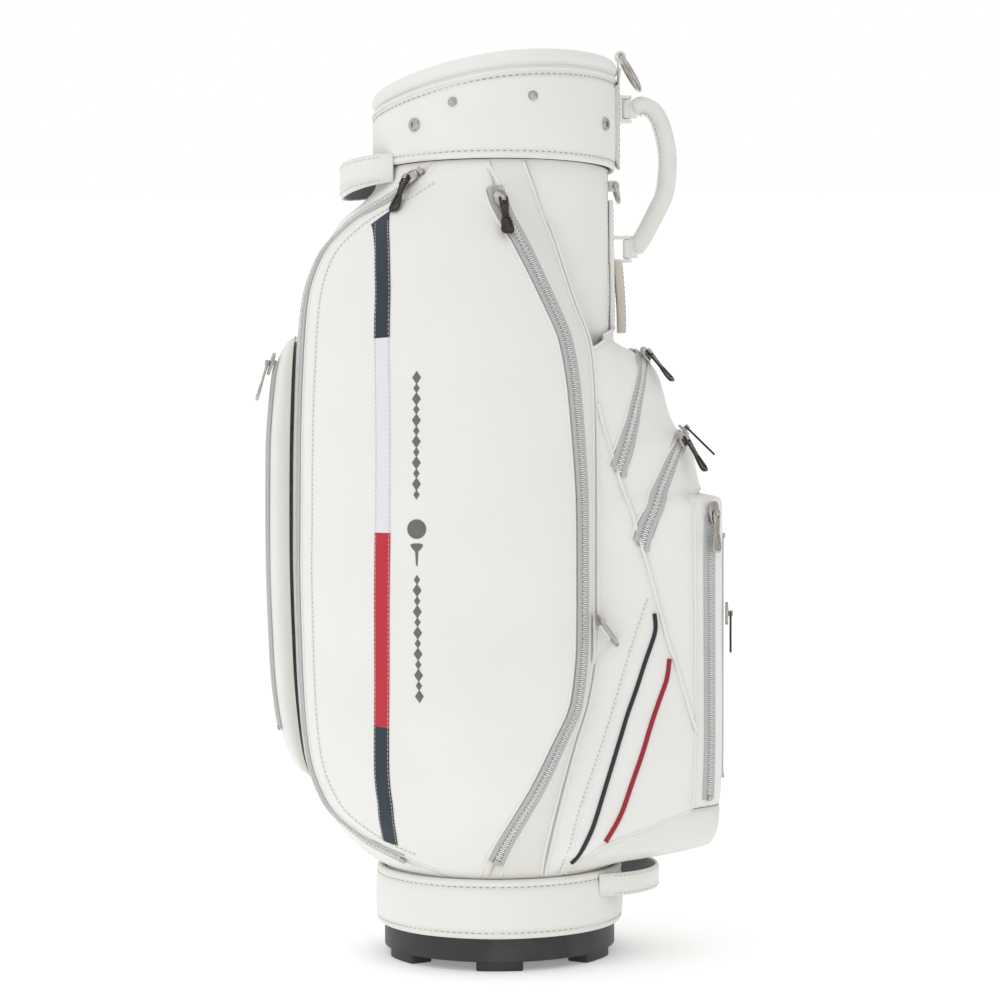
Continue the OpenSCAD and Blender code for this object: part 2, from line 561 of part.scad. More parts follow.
// Zips
function rows_between(low, high) = [for (h = FULL) if (h >= low && h <= high) h];
ZIP_RUN = rows_between(0.02, 0.985);
module left_zip_band() zip([for (h = ZIP_RUN) [h, left_zip(h)]]);
module right_zip_band() zip([for (h = ZIP_RUN) if (h < 0.95) [h, right_zip(h)]]);
module zip_near_left() left_zip_band();
module zip_near_right() right_zip_band();
module zips_far() mirror([0, 1, 0]) {
    left_zip_band();
    right_zip_band();
}
SPINE_ZIP = -81;
module zip_spine() color(tape_grey) laid(
    [for (h = concat([0.19, 0.22, 0.26], step(0.3, 0.6, 4), [0.65, 0.69, 0.72, 0.74])) [h, SPINE_ZIP]],
    tape_section(tape_w - 6), function (a, h, up) pocket_spot(a, h, up));
function round_the_front(line) = concat(line,
    [for (i = [len(line) - 2 : -1 : 0]) [line[i][0], 180 - line[i][1]]]);
module zip_upper() zip(round_the_front(along(concat([[0.572, 46.2]],
    [for (p = UPPER_LINE) if (p[0] > 0.6) p]))));
module zip_middle() zip(round_the_front(along(concat([[0.47, 51.2]],
    [for (p = MIDDLE_LINE) if (p[0] > 0.48) p]))));
module zips_ball() {
    zip([for (h = step(0.11, 0.512, 8)) [h, 72]]);
    zip([for (h = step(0.13, 0.47, 8)) [h, 84]]);
}

// Handles
eye_r = 4.4;
backplate_t = 3;
anchor_t = 1.5;
plate_face = collar_r + 2 * gap + backplate_t;
grab_x = plate_face + anchor_t + 0.6 + eye_r;
grab_mid = collar_low + 60.5 - grab_span / 2;
eye_h = 18;
GRAB = [[0.05, 0.5], [0.14, 0.51], [0.3, 0.535], [0.6, 0.5], [0.8, 0.42], [0.93, 0.3], [1, 0.18],
    [0.99, 0.04], [0.91, -0.11], [0.67, -0.25], [0.4, -0.39], [0.2, -0.475], [0.05, -0.5]];
function bend(points, t) =
    let (n = len(points), i = min(floor(t), n - 2), s = t - i)
    let (p0 = points[max(0, i - 1)], p1 = points[i], p2 = points[i + 1],
        p3 = points[min(n - 1, i + 2)])
    p1 + 0.5 * s * (p2 - p0 + s * (2 * p0 - 5 * p1 + 4 * p2 - p3 + s * (3 * (p1 - p2) + p3 - p0)));
module grab_handle() color(leather) {
    start = 3.5;
    route = [for (p = GRAB) [grab_x + start + p[0] * (grab_reach - start - grab_d / 2), 0,
        grab_mid + p[1] * grab_span]];
    frames = [for (t = step(0, len(route) - 1, 30))
        let (p = bend(route, t), q = bend(route, min(len(route) - 1, t + 0.05)),
            o = bend(route, max(0, t - 0.05)))
        let (d = unit(q - o)) [p, [0, 1, 0], cross(d, [0, 1, 0])]];
    size = function (i) grab_d / 2 * (i == 0 || i == 30 ? 0.5 : i == 1 || i == 29 ? 0.7 : 1);
    rounds = [for (a = [0 : 36 : 324]) [cos(a), sin(a)]];
    swept([for (i = [0 : 30]) [frames[i][0], size(i) * frames[i][1], size(i) * frames[i][2]]], rounds);
    for (s = [-1, 1]) translate([grab_x, 0, grab_mid + s * grab_span / 2]) difference() {
        union() {
            cylinder(r = eye_r, h = eye_h, center = true, $fn = 48);
            translate([2, -eye_r, -eye_h / 2]) cube([6, 2 * eye_r, eye_h]);
        }
        cylinder(r = grab_pin_r + grab_pin_gap, h = eye_h + 2, center = true, $fn = 48);
    }
}
backplate_top = rim_low + rim_rise - roll_h - 2;
module handle_backplate() color(leather) intersection() {
    ring(collar_r + gap + backplate_t, collar_r + gap, collar_low + 2, backplate_top);
    translate([0, -21, 0]) cube([far_out, 42, 2 * rim_low]);
}
// A bracket that holds one of the grab handle's pins out from a round face
module handle_bracket(face_r, z) {
    for (s = [-1, 1]) translate([0, 0, z + s * (eye_h / 2 + 2.5) - 1.5]) intersection() {
        ring(far_out, face_r, 0, 3);
        union() {
            translate([0, -5, 0]) cube([grab_x, 10, 3]);
            translate([grab_x, 0, 0]) cylinder(r = 5, h = 3, $fn = 48);
        }
    }
    intersection() {
        ring(face_r + anchor_t, face_r, z - 13, z + 13);
        translate([0, -9, 0]) cube([far_out, 18, 2 * rim_low]);
    }
    translate([grab_x, 0, z - 11]) cylinder(r = grab_pin_r, h = 22, $fn = 48);
}
module handle_anchors() color(nickel) {
    handle_bracket(plate_face, grab_mid + grab_span / 2);
    handle_bracket(cover_r + gap, grab_mid - grab_span / 2);
}
// A band that stands out of a round wall as a lifting loop, towards +X
module loop_handle(wall_r, reach, half_w, low, high) {
    out = cover_r + reach;
    foot_x = sqrt(wall_r ^ 2 - half_w ^ 2);
    r = ((out - foot_x) ^ 2 + half_w ^ 2) / (2 * (out - foot_x));
    difference() {
        translate([out - r, 0, 0]) ring(r, r - loop_t, low, high);
        translate([0, 0, low - 1]) cylinder(r = wall_r, h = high - low + 2);
    }
}
spine_loop_low = collar_low - 16;
module spine_handle() color(leather) mirror([1, 0, 0])
    loop_handle(collar_r + gap, spine_loop_reach, 69, spine_loop_low, spine_loop_low + spine_loop_h);
base_loop_low = cuff_top - 24;
module base_handle() color(leather)
    loop_handle(cuff_out + gap, base_loop_reach, 75, base_loop_low,
        base_loop_low + base_loop_h);

// Rings and their tabs: each ring turns on a straight bar, or on its own wire, in a tab
towel_at = [collar_r + 4.5, 0, rim_top(collar_r) + 5.5];
towel_lean = 30;
strap_at = [cover_r + 6.5, 0, collar_low - 14];
lower_way = unit([28, 0, -41]);
lower_spot = spot(welt(0.345) + 3.2, 0.345, 0);
lower_out = flat_on(outward(welt(0.345) + 3, 0.345), lower_way);
lower_at = lower_spot + 8 * lower_out;
tab_r = wire_r + ring_gap + 2;
module ring_tab(length, back) difference() {
    union() {
        rotate([90, 0, 0]) cylinder(r = tab_r, h = length, center = true, $fn = 32);
        translate([-back, -length / 2, -tab_r]) cube([back, length, 2 * tab_r]);
    }
    rotate([90, 0, 0]) cylinder(r = wire_r + ring_gap, h = length + 2, center = true, $fn = 32);
}
module ring_tabs() color(trim) {
    translate(towel_at) difference() {
        union() {
            rotate([90, 0, 0]) cylinder(r = tab_r + 0.8, h = 8, center = true, $fn = 32);
            stem = towel_at[2] - backplate_top - gap;
            translate([collar_r + 1 + gap - towel_at[0], -4, -stem]) cube([2, 8, stem]);
        }
        rotate([90, 0, 0]) cylinder(r = wire_r + ring_gap + 0.5, h = 10, center = true, $fn = 32);
    }
    translate(strap_at) ring_tab(12, 6);
    placed(lower_at, lower_out, cross(lower_out, lower_way)) ring_tab(16, 6.5);
}
module towel_ring() color(nickel) translate(towel_at) rotate([0, -towel_lean, 0])
    translate([0, 0, -towel_ring_r]) rotate([0, 90, 0])
        rotate_extrude() translate([towel_ring_r, 0]) circle(r = wire_r, $fn = 24);
// A D ring whose bar lies along y and whose bow hangs towards +x
module d_ring() {
    rotate([90, 0, 0]) cylinder(r = wire_r, h = 2 * strap_ring_r, center = true, $fn = 24);
    for (s = [-1, 1]) translate([0, s * strap_ring_r, 0]) sphere(r = wire_r, $fn = 24);
    intersection() {
        rotate_extrude() translate([strap_ring_r, 0]) circle(r = wire_r, $fn = 24);
        translate([0, -2 * strap_ring_r, -wire_r - 1])
            cube([2 * strap_ring_r, 4 * strap_ring_r, 2 * wire_r + 2]);
    }
}
module strap_ring_upper() color(nickel)
    translate(strap_at) rotate([0, 76, 0]) d_ring();
module strap_ring_lower() color(nickel)
    placed(lower_at, lower_out, cross(lower_out, lower_way)) d_ring();

// Sliders and pullers
module slider_near_left() slider_at("near_left");
module puller_near_left() puller_at("near_left");
module slider_near_right() slider_at("near_right");
module puller_near_right() puller_at("near_right");
module slider_far_left() mirror([0, 1, 0]) slider_at("near_left");
module puller_far_left() mirror([0, 1, 0]) puller_at("near_left");
module slider_far_right() mirror([0, 1, 0]) slider_at("near_right");
module puller_far_right() mirror([0, 1, 0]) puller_at("near_right");
module slider_spine() slider_at("spine");
module puller_spine() puller_at("spine");
module slider_upper() slider_at("upper");
module puller_upper() puller_at("upper");
module slider_middle_a() slider_at("middle_a");
module puller_middle_a() puller_at("middle_a");
module slider_middle_b() slider_at("middle_b");
module puller_middle_b() puller_at("middle_b");
module slider_ball() slider_at("ball");
module puller_ball() puller_at("ball");
module slider_front() slider_at("front");
module puller_front() puller_at("front");

base_moulding();
foot_pads();
base_cuff();
body_tube();
body_cover();
collar_frame();
collar_cover();
rim_roll();
divider_top();
divider_sleeves();
snap_studs();
apparel_panel_near();
apparel_panel_far();
pocket_gussets();
spine_panel();
spine_pocket();
side_panel_near();
side_panel_far();
upper_gusset();
upper_pocket();
middle_pocket();
ball_pocket();
base_panel();
colour_tape();
zip_near_left();
zip_near_right();
zips_far();
zip_spine();
zip_upper();
zip_middle();
zips_ball();
grab_handle();
handle_backplate();
handle_anchors();
spine_handle();
base_handle();
ring_tabs();
towel_ring();
strap_ring_upper();
strap_ring_lower();
slider_near_left();
puller_near_left();
slider_near_right();
puller_near_right();
slider_far_left();
puller_far_left();
slider_far_right();
puller_far_right();
slider_spine();
puller_spine();
slider_upper();
puller_upper();
slider_middle_a();
puller_middle_a();
slider_middle_b();
puller_middle_b();
slider_ball();
puller_ball();
slider_front();
puller_front();
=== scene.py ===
import json
import math

import bmesh
import bpy
from mathutils import Matrix, Vector, noise
from mathutils.bvhtree import BVHTree

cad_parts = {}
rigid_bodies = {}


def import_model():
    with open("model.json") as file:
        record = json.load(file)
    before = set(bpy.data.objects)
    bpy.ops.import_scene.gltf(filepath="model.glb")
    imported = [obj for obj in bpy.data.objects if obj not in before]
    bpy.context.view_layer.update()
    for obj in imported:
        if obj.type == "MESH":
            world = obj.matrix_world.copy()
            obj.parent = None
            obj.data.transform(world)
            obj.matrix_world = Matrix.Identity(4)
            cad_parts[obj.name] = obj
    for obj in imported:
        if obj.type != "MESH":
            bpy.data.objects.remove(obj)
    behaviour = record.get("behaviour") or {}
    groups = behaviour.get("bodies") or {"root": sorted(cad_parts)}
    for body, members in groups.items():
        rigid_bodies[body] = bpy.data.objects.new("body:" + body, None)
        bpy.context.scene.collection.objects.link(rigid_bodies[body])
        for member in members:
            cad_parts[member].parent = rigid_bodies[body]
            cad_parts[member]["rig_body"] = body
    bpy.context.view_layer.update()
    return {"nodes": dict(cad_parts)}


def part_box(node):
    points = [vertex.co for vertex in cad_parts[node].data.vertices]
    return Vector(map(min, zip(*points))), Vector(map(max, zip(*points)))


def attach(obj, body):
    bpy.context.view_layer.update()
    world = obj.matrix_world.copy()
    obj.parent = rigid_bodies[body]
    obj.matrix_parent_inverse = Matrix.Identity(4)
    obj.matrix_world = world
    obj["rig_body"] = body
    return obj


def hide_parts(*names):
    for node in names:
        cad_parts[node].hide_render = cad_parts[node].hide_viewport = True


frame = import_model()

# The view: a long lens in front of the near side, at half the bag's height and a little tipped.
mm = 0.001
camera_data = bpy.data.cameras.new("camera")
camera_data.sensor_width = 36
camera_data.lens = 89.3
camera_data.clip_end = 20
camera = bpy.data.objects.new("camera", camera_data)
camera.location = (3 * mm, -2420 * mm, 469 * mm)
looking_down = math.radians(0.71)
leaning = math.radians(-0.36)
camera.rotation_euler = (Matrix.Rotation(math.pi / 2 - looking_down, 3, "X")
                         @ Matrix.Rotation(leaning, 3, "Z")).to_euler()
bpy.context.scene.collection.objects.link(camera)
bpy.context.scene.camera = camera


# Studio: a pale seamless floor that curves up behind the bag, with large soft lights round it.
def linear(code):
    """An sRGB hex colour as linear red, green, blue and alpha."""
    parts = [int(code[i:i + 2], 16) / 255 for i in (1, 3, 5)]
    return [p / 12.92 if p <= 0.04045 else ((p + 0.055) / 1.055) ** 2.4 for p in parts] + [1]


def add(tree, kind, inputs=None, **settings):
    """A shader node with its settings, and its inputs as links or values."""
    made = tree.nodes.new("ShaderNode" + kind)
    for key, value in settings.items():
        setattr(made, key, value)
    for key, value in (inputs or {}).items():
        if isinstance(value, bpy.types.NodeSocket):
            tree.links.new(value, made.inputs[key])
        else:
            made.inputs[key].default_value = value
    return made


def new_material(name):
    """A named material, its node tree and its principled shader."""
    made = bpy.data.materials.new(name)
    made.use_nodes = True
    return made, made.node_tree, made.node_tree.nodes["Principled BSDF"]


backdrop_reach = 3.0
backdrop_bend = 1.2
bpy.ops.object.select_all(action="DESELECT")
bpy.ops.mesh.primitive_grid_add(x_subdivisions=1, y_subdivisions=24, size=1)
backdrop = bpy.context.object
backdrop.name = "backdrop"
for v in backdrop.data.vertices:
    run = (v.co.y + 0.5) * (2 * backdrop_reach + backdrop_bend * math.pi / 2)
    turned = min(max(run - 2 * backdrop_reach, 0) / backdrop_bend, math.pi / 2)
    v.co = (v.co.x * 9, min(run, 2 * backdrop_reach) - backdrop_reach
            + backdrop_bend * math.sin(turned), backdrop_bend * (1 - math.cos(turned)))
bpy.ops.object.shade_smooth()
# Matt painted board, lit from behind so that it stays white, with a faint unevenness from the
# roller.
painted, tree, paint = new_material("painted_board")
coords = add(tree, "TexCoord")
roller = add(tree, "TexNoise", {"Vector": coords.outputs["Object"], "Scale": 3.0, "Detail": 3.0})
tone = add(tree, "MixRGB", {"Fac": roller.outputs["Fac"], "Color1": linear("#f6f6f5"),
                            "Color2": linear("#fbfbfa")})
tree.links.new(tone.outputs["Color"], paint.inputs["Base Color"])
paint.inputs["Roughness"].default_value = 0.9
paint.inputs["Emission Color"].default_value = linear("#ffffff")
paint.inputs["Emission Strength"].default_value = 0.25
backdrop.data.materials.append(painted)

studio = bpy.data.worlds.new("studio")
studio.use_nodes = True
# The room is white where the camera sees it, and its light fades towards the right.
tree = studio.node_tree
sky = tree.nodes["Background"]
way = add(tree, "SeparateXYZ", {"Vector": add(tree, "TexCoord").outputs["Generated"]})
fade = add(tree, "MapRange", {"Value": way.outputs["X"], "From Min": -0.7, "From Max": 0.9,
                              "To Min": 0.95, "To Max": 0.64})
seen = add(tree, "Math", {0: fade.outputs[0], 1: add(tree, "LightPath").outputs["Is Camera Ray"]},
           operation="MAXIMUM")
tree.links.new(seen.outputs[0], sky.inputs["Strength"])
sky.inputs["Color"].default_value = linear("#ffffff")
bpy.context.scene.world = studio
bpy.context.scene.view_settings.view_transform = "Standard"
for name, place, size, power in (
        ("left_bank", (-2.4, -1.9, 1.6), 2.2, 3),
        ("right_bank", (1.9, -2.2, 0.7), 1.6, 2),
        ("top_bank", (0, -0.4, 3.0), 2.4, 6)):
    lamp = bpy.data.lights.new(name, "AREA")
    lamp.size = size
    lamp.energy = power
    bank = bpy.data.objects.new(name, lamp)
    bank.location = place
    bank.rotation_euler = (Vector((0, 0, 0.45)) - bank.location).to_track_quat("-Z", "Y").to_euler()
    bpy.context.scene.collection.objects.link(bank)


# Soft white leather: a polyurethane skin on a woven back, embossed with a fine pebble. It gives
# a low sheen, a grain that breaks up the light, a random mottle, and a painted shade, warmer
# and duller, down by the seams.
def leather(name, face, mottle_and_shade_tone, grain=1.9, sheen=0.46, depth=0.16):
    """Leather of two tones: the second mottles it at random and is painted as shade down in the seams,
    by the piece's own seam attribute. Sizes in millimetres.
    """
    made, tree, skin_shader = new_material(name)
    place = add(tree, "TexCoord").outputs["Object"]
    patches = add(tree, "TexNoise", {"Vector": place, "Scale": 14.0, "Detail": 2.0})
    pebble = add(tree, "TexVoronoi", {"Vector": place, "Scale": 1 / (grain * mm)},
                 feature="SMOOTH_F1")
    creases = add(tree, "TexNoise", {"Vector": place, "Scale": 0.35 / (grain * mm), "Detail": 4.0})
    # The seam attribute mixes painted shade into the colour down by the seams, over a random mottle.
    seam_shade_mask = add(tree, "Attribute", attribute_name="seam")
    painted_seam_shade = add(tree, "Math", {0: seam_shade_mask.outputs["Fac"], 1: 0.8}, operation="MULTIPLY")
    mottle_and_shade = add(tree, "Math", {0: patches.outputs["Fac"], 1: 0.35, 2: painted_seam_shade.outputs[0]},
                  operation="MULTIPLY_ADD", use_clamp=True)
    hue = add(tree, "MixRGB", {"Fac": mottle_and_shade.outputs[0], "Color1": linear(face),
                               "Color2": linear(mottle_and_shade_tone)})
    tree.links.new(hue.outputs["Color"], skin_shader.inputs["Base Color"])
    rough = add(tree, "MapRange", {"Value": creases.outputs["Fac"], "To Min": sheen - 0.07,
                                   "To Max": sheen + 0.09})
    tree.links.new(rough.outputs[0], skin_shader.inputs["Roughness"])
    relief = add(tree, "Math", {0: creases.outputs["Fac"], 1: 0.5, 2: pebble.outputs["Distance"]},
                 operation="MULTIPLY_ADD")
    bump = add(tree, "Bump", {"Height": relief.outputs[0], "Distance": depth * mm,
                              "Strength": 0.55})
    tree.links.new(bump.outputs["Normal"], skin_shader.inputs["Normal"])
    skin_shader.inputs["IOR"].default_value = 1.46
    return made


white_leather = leather("white_leather", "#f1f1ef", "#dedcd5")
smooth_leather = leather("smooth_trim_leather", "#efefec", "#dcdad3", grain=1.2, sheen=0.4,
                         depth=0.08)
# A slightly darker copy of the white leather: painted shade for the gussets and the base panel, which
# turn away from the light.
shaded_leather = leather("gusset_leather", "#ecebe7", "#d5d3cb", grain=1.6)


# Helpers of the sewing room. A piece is spread as a grid whose every point is put in its place,
# then thickened, rounded and smoothed.
def alone(piece):
    """Leaves only this piece selected, as the active one."""
    bpy.ops.object.select_all(action="DESELECT")
    piece.select_set(True)
    bpy.context.view_layer.objects.active = piece


def spread(name, across, up, place, loop=False):
    """A grid of across by up cells, with point (i, j) put at place(i, j). loop joins its sides."""
    bpy.ops.object.select_all(action="DESELECT")
    bpy.ops.mesh.primitive_grid_add(x_subdivisions=across, y_subdivisions=up, size=1)
    made = bpy.context.object
    made.name = made.data.name = name
    for v in made.data.vertices:
        i, j = round((v.co.x + 0.5) * across), round((v.co.y + 0.5) * up)
        v.co = place(0 if loop and i == across else i, j)
    if loop:
        join_doubles(made)
    return made


def join_doubles(piece, reach=0.02 * mm):
    """Merges points that lie on each other and drops faces that have no area."""
    work = bmesh.new()
    work.from_mesh(piece.data)
    bmesh.ops.remove_doubles(work, verts=work.verts, dist=reach)
    bmesh.ops.dissolve_degenerate(work, edges=work.edges, dist=reach / 4)
    work.to_mesh(piece.data)
    work.free()


def outside_out(piece):
    """Closes the piece's open ends and turns all its faces outwards."""
    work = bmesh.new()
    work.from_mesh(piece.data)
    bmesh.ops.holes_fill(work, edges=[e for e in work.edges if e.is_boundary], sides=0)
    bmesh.ops.recalc_face_normals(work, faces=work.faces)
    work.to_mesh(piece.data)
    work.free()


def modified(piece, kind, **settings):
    """Adds one modifier with its settings and applies it."""
    alone(piece)
    change = piece.modifiers.new(kind.lower(), kind)
    for key, value in settings.items():
        setattr(change, key, value)
    bpy.ops.object.modifier_apply(modifier=change.name)


def finished(piece, material, body, stands_for=(), smooth=40):
    """Gives a piece its material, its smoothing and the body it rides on."""
    piece.data.materials.clear()
    piece.data.materials.append(material)
    alone(piece)
    bpy.ops.object.shade_smooth_by_angle(angle=math.radians(smooth))
    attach(piece, body)
    if stands_for:
        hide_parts(*stands_for)
    return piece


def thickened(piece, wall, material, body="bag", stands_for=(), rounding=0.0):
    """A sheet given its wall inwards and its edges rounded, then finished."""
    modified(piece, "SOLIDIFY", thickness=wall * mm, offset=-1, use_even_offset=False)
    if rounding:
        modified(piece, "BEVEL", width=rounding * mm, segments=2, limit_method="ANGLE",
                 angle_limit=math.radians(50))
    return finished(piece, material, body, stands_for)


def mirrored(piece):
    """The piece with its other half on the far side."""
    modified(piece, "MIRROR", use_axis=(False, True, False), merge_threshold=0.05 * mm)


def shaded_by(piece, value):
    """Writes the seam attribute, which mixes in the leather's darker tone as painted shade: from 0 on
    the open face to 1 down in a seam.
    """
    layer = piece.data.attributes.get("seam") or piece.data.attributes.new("seam", "FLOAT", "POINT")
    for k, v in enumerate(piece.data.vertices):
        layer.data[k].value = value(v.co)


def swept(name, frames, section, closed=False):
    """A tube of one cross-section along frames of (place, across, up), in metres and mm."""
    count = len(section)

    def place(i, j):
        at_point, side, lift = frames[j % len(frames)]
        x, y = section[i % count]
        return at_point + side * (x * mm) + lift * (y * mm)
    made = spread(name, count, len(frames) - (0 if closed else 1), place, loop=True)
    outside_out(made)
    return made


def round_section(r, count=8):
    """A circle of a radius, as points of (x, y)."""
    return [(r * math.cos(math.tau * k / count), r * math.sin(math.tau * k / count))
            for k in range(count)]


def set_in(name, forms, frames):
    """Forms of (points, faces), each set in its frame of (place, along, across, up), as one mesh."""
    verts, polys = [], []
    for (points, faces), (at_point, x, y, z) in zip(forms, frames):
        base = len(verts)
        verts += [at_point + (x * p[0] + y * p[1] + z * p[2]) * mm for p in points]
        polys += [[base + k for k in f] for f in faces]
    mesh = bpy.data.meshes.new(name)
    mesh.from_pydata([tuple(v) for v in verts], [], polys)
    made = bpy.data.objects.new(name, mesh)
    bpy.context.scene.collection.objects.link(made)
    outside_out(made)
    return made


def row_of(name, frames, points, faces):
    """One small form copied to every frame, as one mesh."""
    return set_in(name, [(points, faces)] * len(frames), frames)


def dressed(node, material):
    """Gives a CAD piece that shows its own finish."""
    piece = frame["nodes"][node]
    piece.data.materials.clear()
    piece.data.materials.append(material)
    return piece


# Sewing thread: bonded polyester, pulled tight, so each stitch dips at both ends. It is drawn
# as a flat spindle of ten faces.
stitch_run = 3.4
stitch_wide = 0.75
spindle = [(-0.5 * stitch_run, 0, -0.2), (0.5 * stitch_run, 0, -0.2)] + [
    (x * stitch_run * 0.3, stitch_wide / 2 * math.cos(t), 0.1 + 0.35 * math.sin(t))
    for x in (-1, 1) for t in (0, math.pi / 2, math.pi, 1.5 * math.pi)]
spindle_faces = [(0, 2 + k, 2 + (k + 1) % 4) for k in range(4)] + [
    (1, 6 + k, 6 + (k + 1) % 4) for k in range(4)] + [
    (2 + k, 2 + (k + 1) % 4, 6 + (k + 1) % 4, 6 + k) for k in range(4)]


def sewing_thread(name, face, twist_tone):
    """Twisted polyester thread of two tones."""
    made, tree, shader = new_material(name)
    place = add(tree, "TexCoord").outputs["Object"]
    twist = add(tree, "TexNoise", {"Vector": place, "Scale": 900.0, "Detail": 1.0})
    hue = add(tree, "MixRGB", {"Fac": twist.outputs["Fac"], "Color1": linear(face),
                               "Color2": linear(twist_tone)})
    tree.links.new(hue.outputs["Color"], shader.inputs["Base Color"])
    shader.inputs["Roughness"].default_value = 0.55
    shader.inputs["Sheen Weight"].default_value = 0.3
    return made


thread = sewing_thread("polyester_thread", "#c9c8c2", "#b2b1ab")
grey_thread = sewing_thread("grey_polyester_thread", "#9b9a96", "#828180")


def evenly(route, gap_mm):
    """Frames (place, along, across, up) at even steps along a route of (place, outwards)."""
    marks, frames, walked, due = route, [], 0.0, gap_mm * mm / 2
    for (p, n), (q, m) in zip(marks, marks[1:]):
        length = (q - p).length
        while length > 0 and walked + length >= due:
            s = (due - walked) / length
            lift = n.lerp(m, s).normalized()
            way = (q - p).normalized()
            frames.append((p.lerp(q, s), way, lift.cross(way), lift))
            due += gap_mm * mm
        walked += length
    return frames


def stitches(name, route, body="bag", gap_mm=5.0, material=None):
    """A row of stitches along a route of (place, outwards)."""
    made = row_of(name, evenly(route, gap_mm), spindle, spindle_faces)
    return finished(made, material or thread, body)


# Base moulding: a black polypropylene cup riveted round the tube's foot. It is moulded with a
# fine spark-eroded grain, and its ring shows below the leather cuff.
def moulded(name, face, worn, grain=1.1):
    """Grained black plastic, with a paler bloom where it has been rubbed."""
    made, tree, shader = new_material(name)
    place = add(tree, "TexCoord").outputs["Object"]
    spark = add(tree, "TexNoise", {"Vector": place, "Scale": 1 / (grain * mm), "Detail": 3.0})
    rubbed = add(tree, "TexNoise", {"Vector": place, "Scale": 30.0, "Detail": 5.0})
    share = add(tree, "MapRange", {"Value": rubbed.outputs["Fac"], "From Min": 0.45,
                                   "From Max": 0.75})
    hue = add(tree, "MixRGB", {"Fac": share.outputs[0], "Color1": linear(face),
                               "Color2": linear(worn)})
    tree.links.new(hue.outputs["Color"], shader.inputs["Base Color"])
    shader.inputs["Roughness"].default_value = 0.5
    bump = add(tree, "Bump", {"Height": spark.outputs["Fac"], "Distance": 0.12 * mm,
                              "Strength": 0.6})
    tree.links.new(bump.outputs["Normal"], shader.inputs["Normal"])
    return made


def turned(name, profile, wave=None, around=144, middle=(0, 0)):
    """A closed ring with the profile of (radius, height), in millimetres, about the bag's axis."""
    count = len(profile)

    def place(i, j):
        t = math.tau * (j % around) / around
        r, z = profile[i % count]
        if wave:
            r, z = wave(t, r, z)
        return Vector((middle[0] + r * math.sin(t), middle[1] - r * math.cos(t), z)) * mm
    made = spread(name, count, around, place, loop=True)
    outside_out(made)
    return made


def rounded(corners, radius=1.2, steps=3):
    """A closed outline of (x, y) with its corners rounded. A corner may give its own radius."""
    made = []
    for k, corner in enumerate(corners):
        here = Vector(corner[:2])
        r = corner[2] if len(corner) > 2 else radius
        before = Vector(corners[k - 1][:2]) - here
        after = Vector(corners[(k + 1) % len(corners)][:2]) - here
        reach = min(r, before.length * 0.45, after.length * 0.45)
        a, b = here + before.normalized() * reach, here + after.normalized() * reach
        for s in range(steps + 1):
            t = s / steps
            made.append(tuple(a * (1 - t) ** 2 + here * 2 * t * (1 - t) + b * t ** 2))
    return made


black_plastic = moulded("grained_black_polypropylene", "#2b2b2c", "#3b3b3c")
base_low, base_high = (c.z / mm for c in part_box("base_moulding"))
base_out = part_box("base_moulding")[1].x / mm
cuff_low, cuff_top = (c.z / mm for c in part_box("base_cuff"))
base_ring = turned("base_ring", rounded([
    (base_out - 7, base_low, 0.6), (base_out - 1.2, base_low, 1.4), (base_out - 0.4, base_low + 8),
    (base_out - 1.6, base_low + 9, 0.4), (base_out - 1.6, base_low + 11, 0.4),
    (base_out - 0.2, base_low + 12, 0.6), (base_out, cuff_low - 0.5),
    (base_out, base_high), (base_out - 5, base_high)], 0.8))
finished(base_ring, black_plastic, "bag")
dressed("base_moulding", black_plastic)


# Feet: six black rubber blocks moulded on the base ring, each with a rounded toe.
rubber = moulded("black_rubber_feet", "#262627", "#333334", grain=0.8)
foot_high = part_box("foot_pads")[1].z / mm
foot_wide, foot_deep, foot_count = 44, 22, 6
work = bmesh.new()
for k in range(foot_count):
    way = math.tau * k / foot_count - math.pi / 2
    turn = Matrix.Rotation(way, 4, "Z")
    toe = base_out - 1.5
    outline = []
    for s in range(9):
        across = foot_wide * (s / 8 - 0.5)
        outline.append((math.sqrt(toe ** 2 - across ** 2), across))
    for s in range(9):
        across = foot_wide * (0.5 - s / 8)
        outline.append((toe - foot_deep - (across / foot_wide) ** 2 * 3, across))
    levels = [(0.0, 1.6), (0.8, 0.4), (1.8, 0), (foot_high + 2.5, 0)]
    rings = []
    for z, draw in levels:
        ring = []
        for x, y in outline:
            inwards = Vector((x - toe + foot_deep / 2, y)).normalized() * draw
            ring.append(work.verts.new(turn @ (Vector((x - inwards.x, y - inwards.y, z)) * mm)))
        rings.append(ring)
    for low, high in zip(rings, rings[1:]):
        for s in range(len(low)):
            e = (s + 1) % len(low)
            work.faces.new((low[s], low[e], high[e], high[s]))
    work.faces.new(rings[0])
    work.faces.new(rings[-1])
bmesh.ops.recalc_face_normals(work, faces=work.faces)
mesh = bpy.data.meshes.new("feet")
work.to_mesh(mesh)
work.free()
feet = bpy.data.objects.new("feet", mesh)
bpy.context.scene.collection.objects.link(feet)
modified(feet, "BEVEL", width=0.7 * mm, segments=2, limit_method="ANGLE",
         angle_limit=math.radians(40))
finished(feet, rubber, "bag", ["foot_pads"])


# Base cuff: a foam-backed band of white leather turned in at both edges and stitched 6 mm from
# each. The foam swells between the stitches, and the leather puckers a little at each of them.
cuff_in = 112.3
cuff_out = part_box("base_cuff")[1].x / mm
cuff_run = cuff_top - cuff_low


def cuff_wave(t, r, z):
    """Lets the cuff's outer face billow a little, and not its inner one."""
    if r < cuff_in + 2:
        return r, z
    billow = 0.7 * noise.noise(Vector((math.sin(t) * 2.2, math.cos(t) * 2.2, z / 40)))
    return r + billow, z


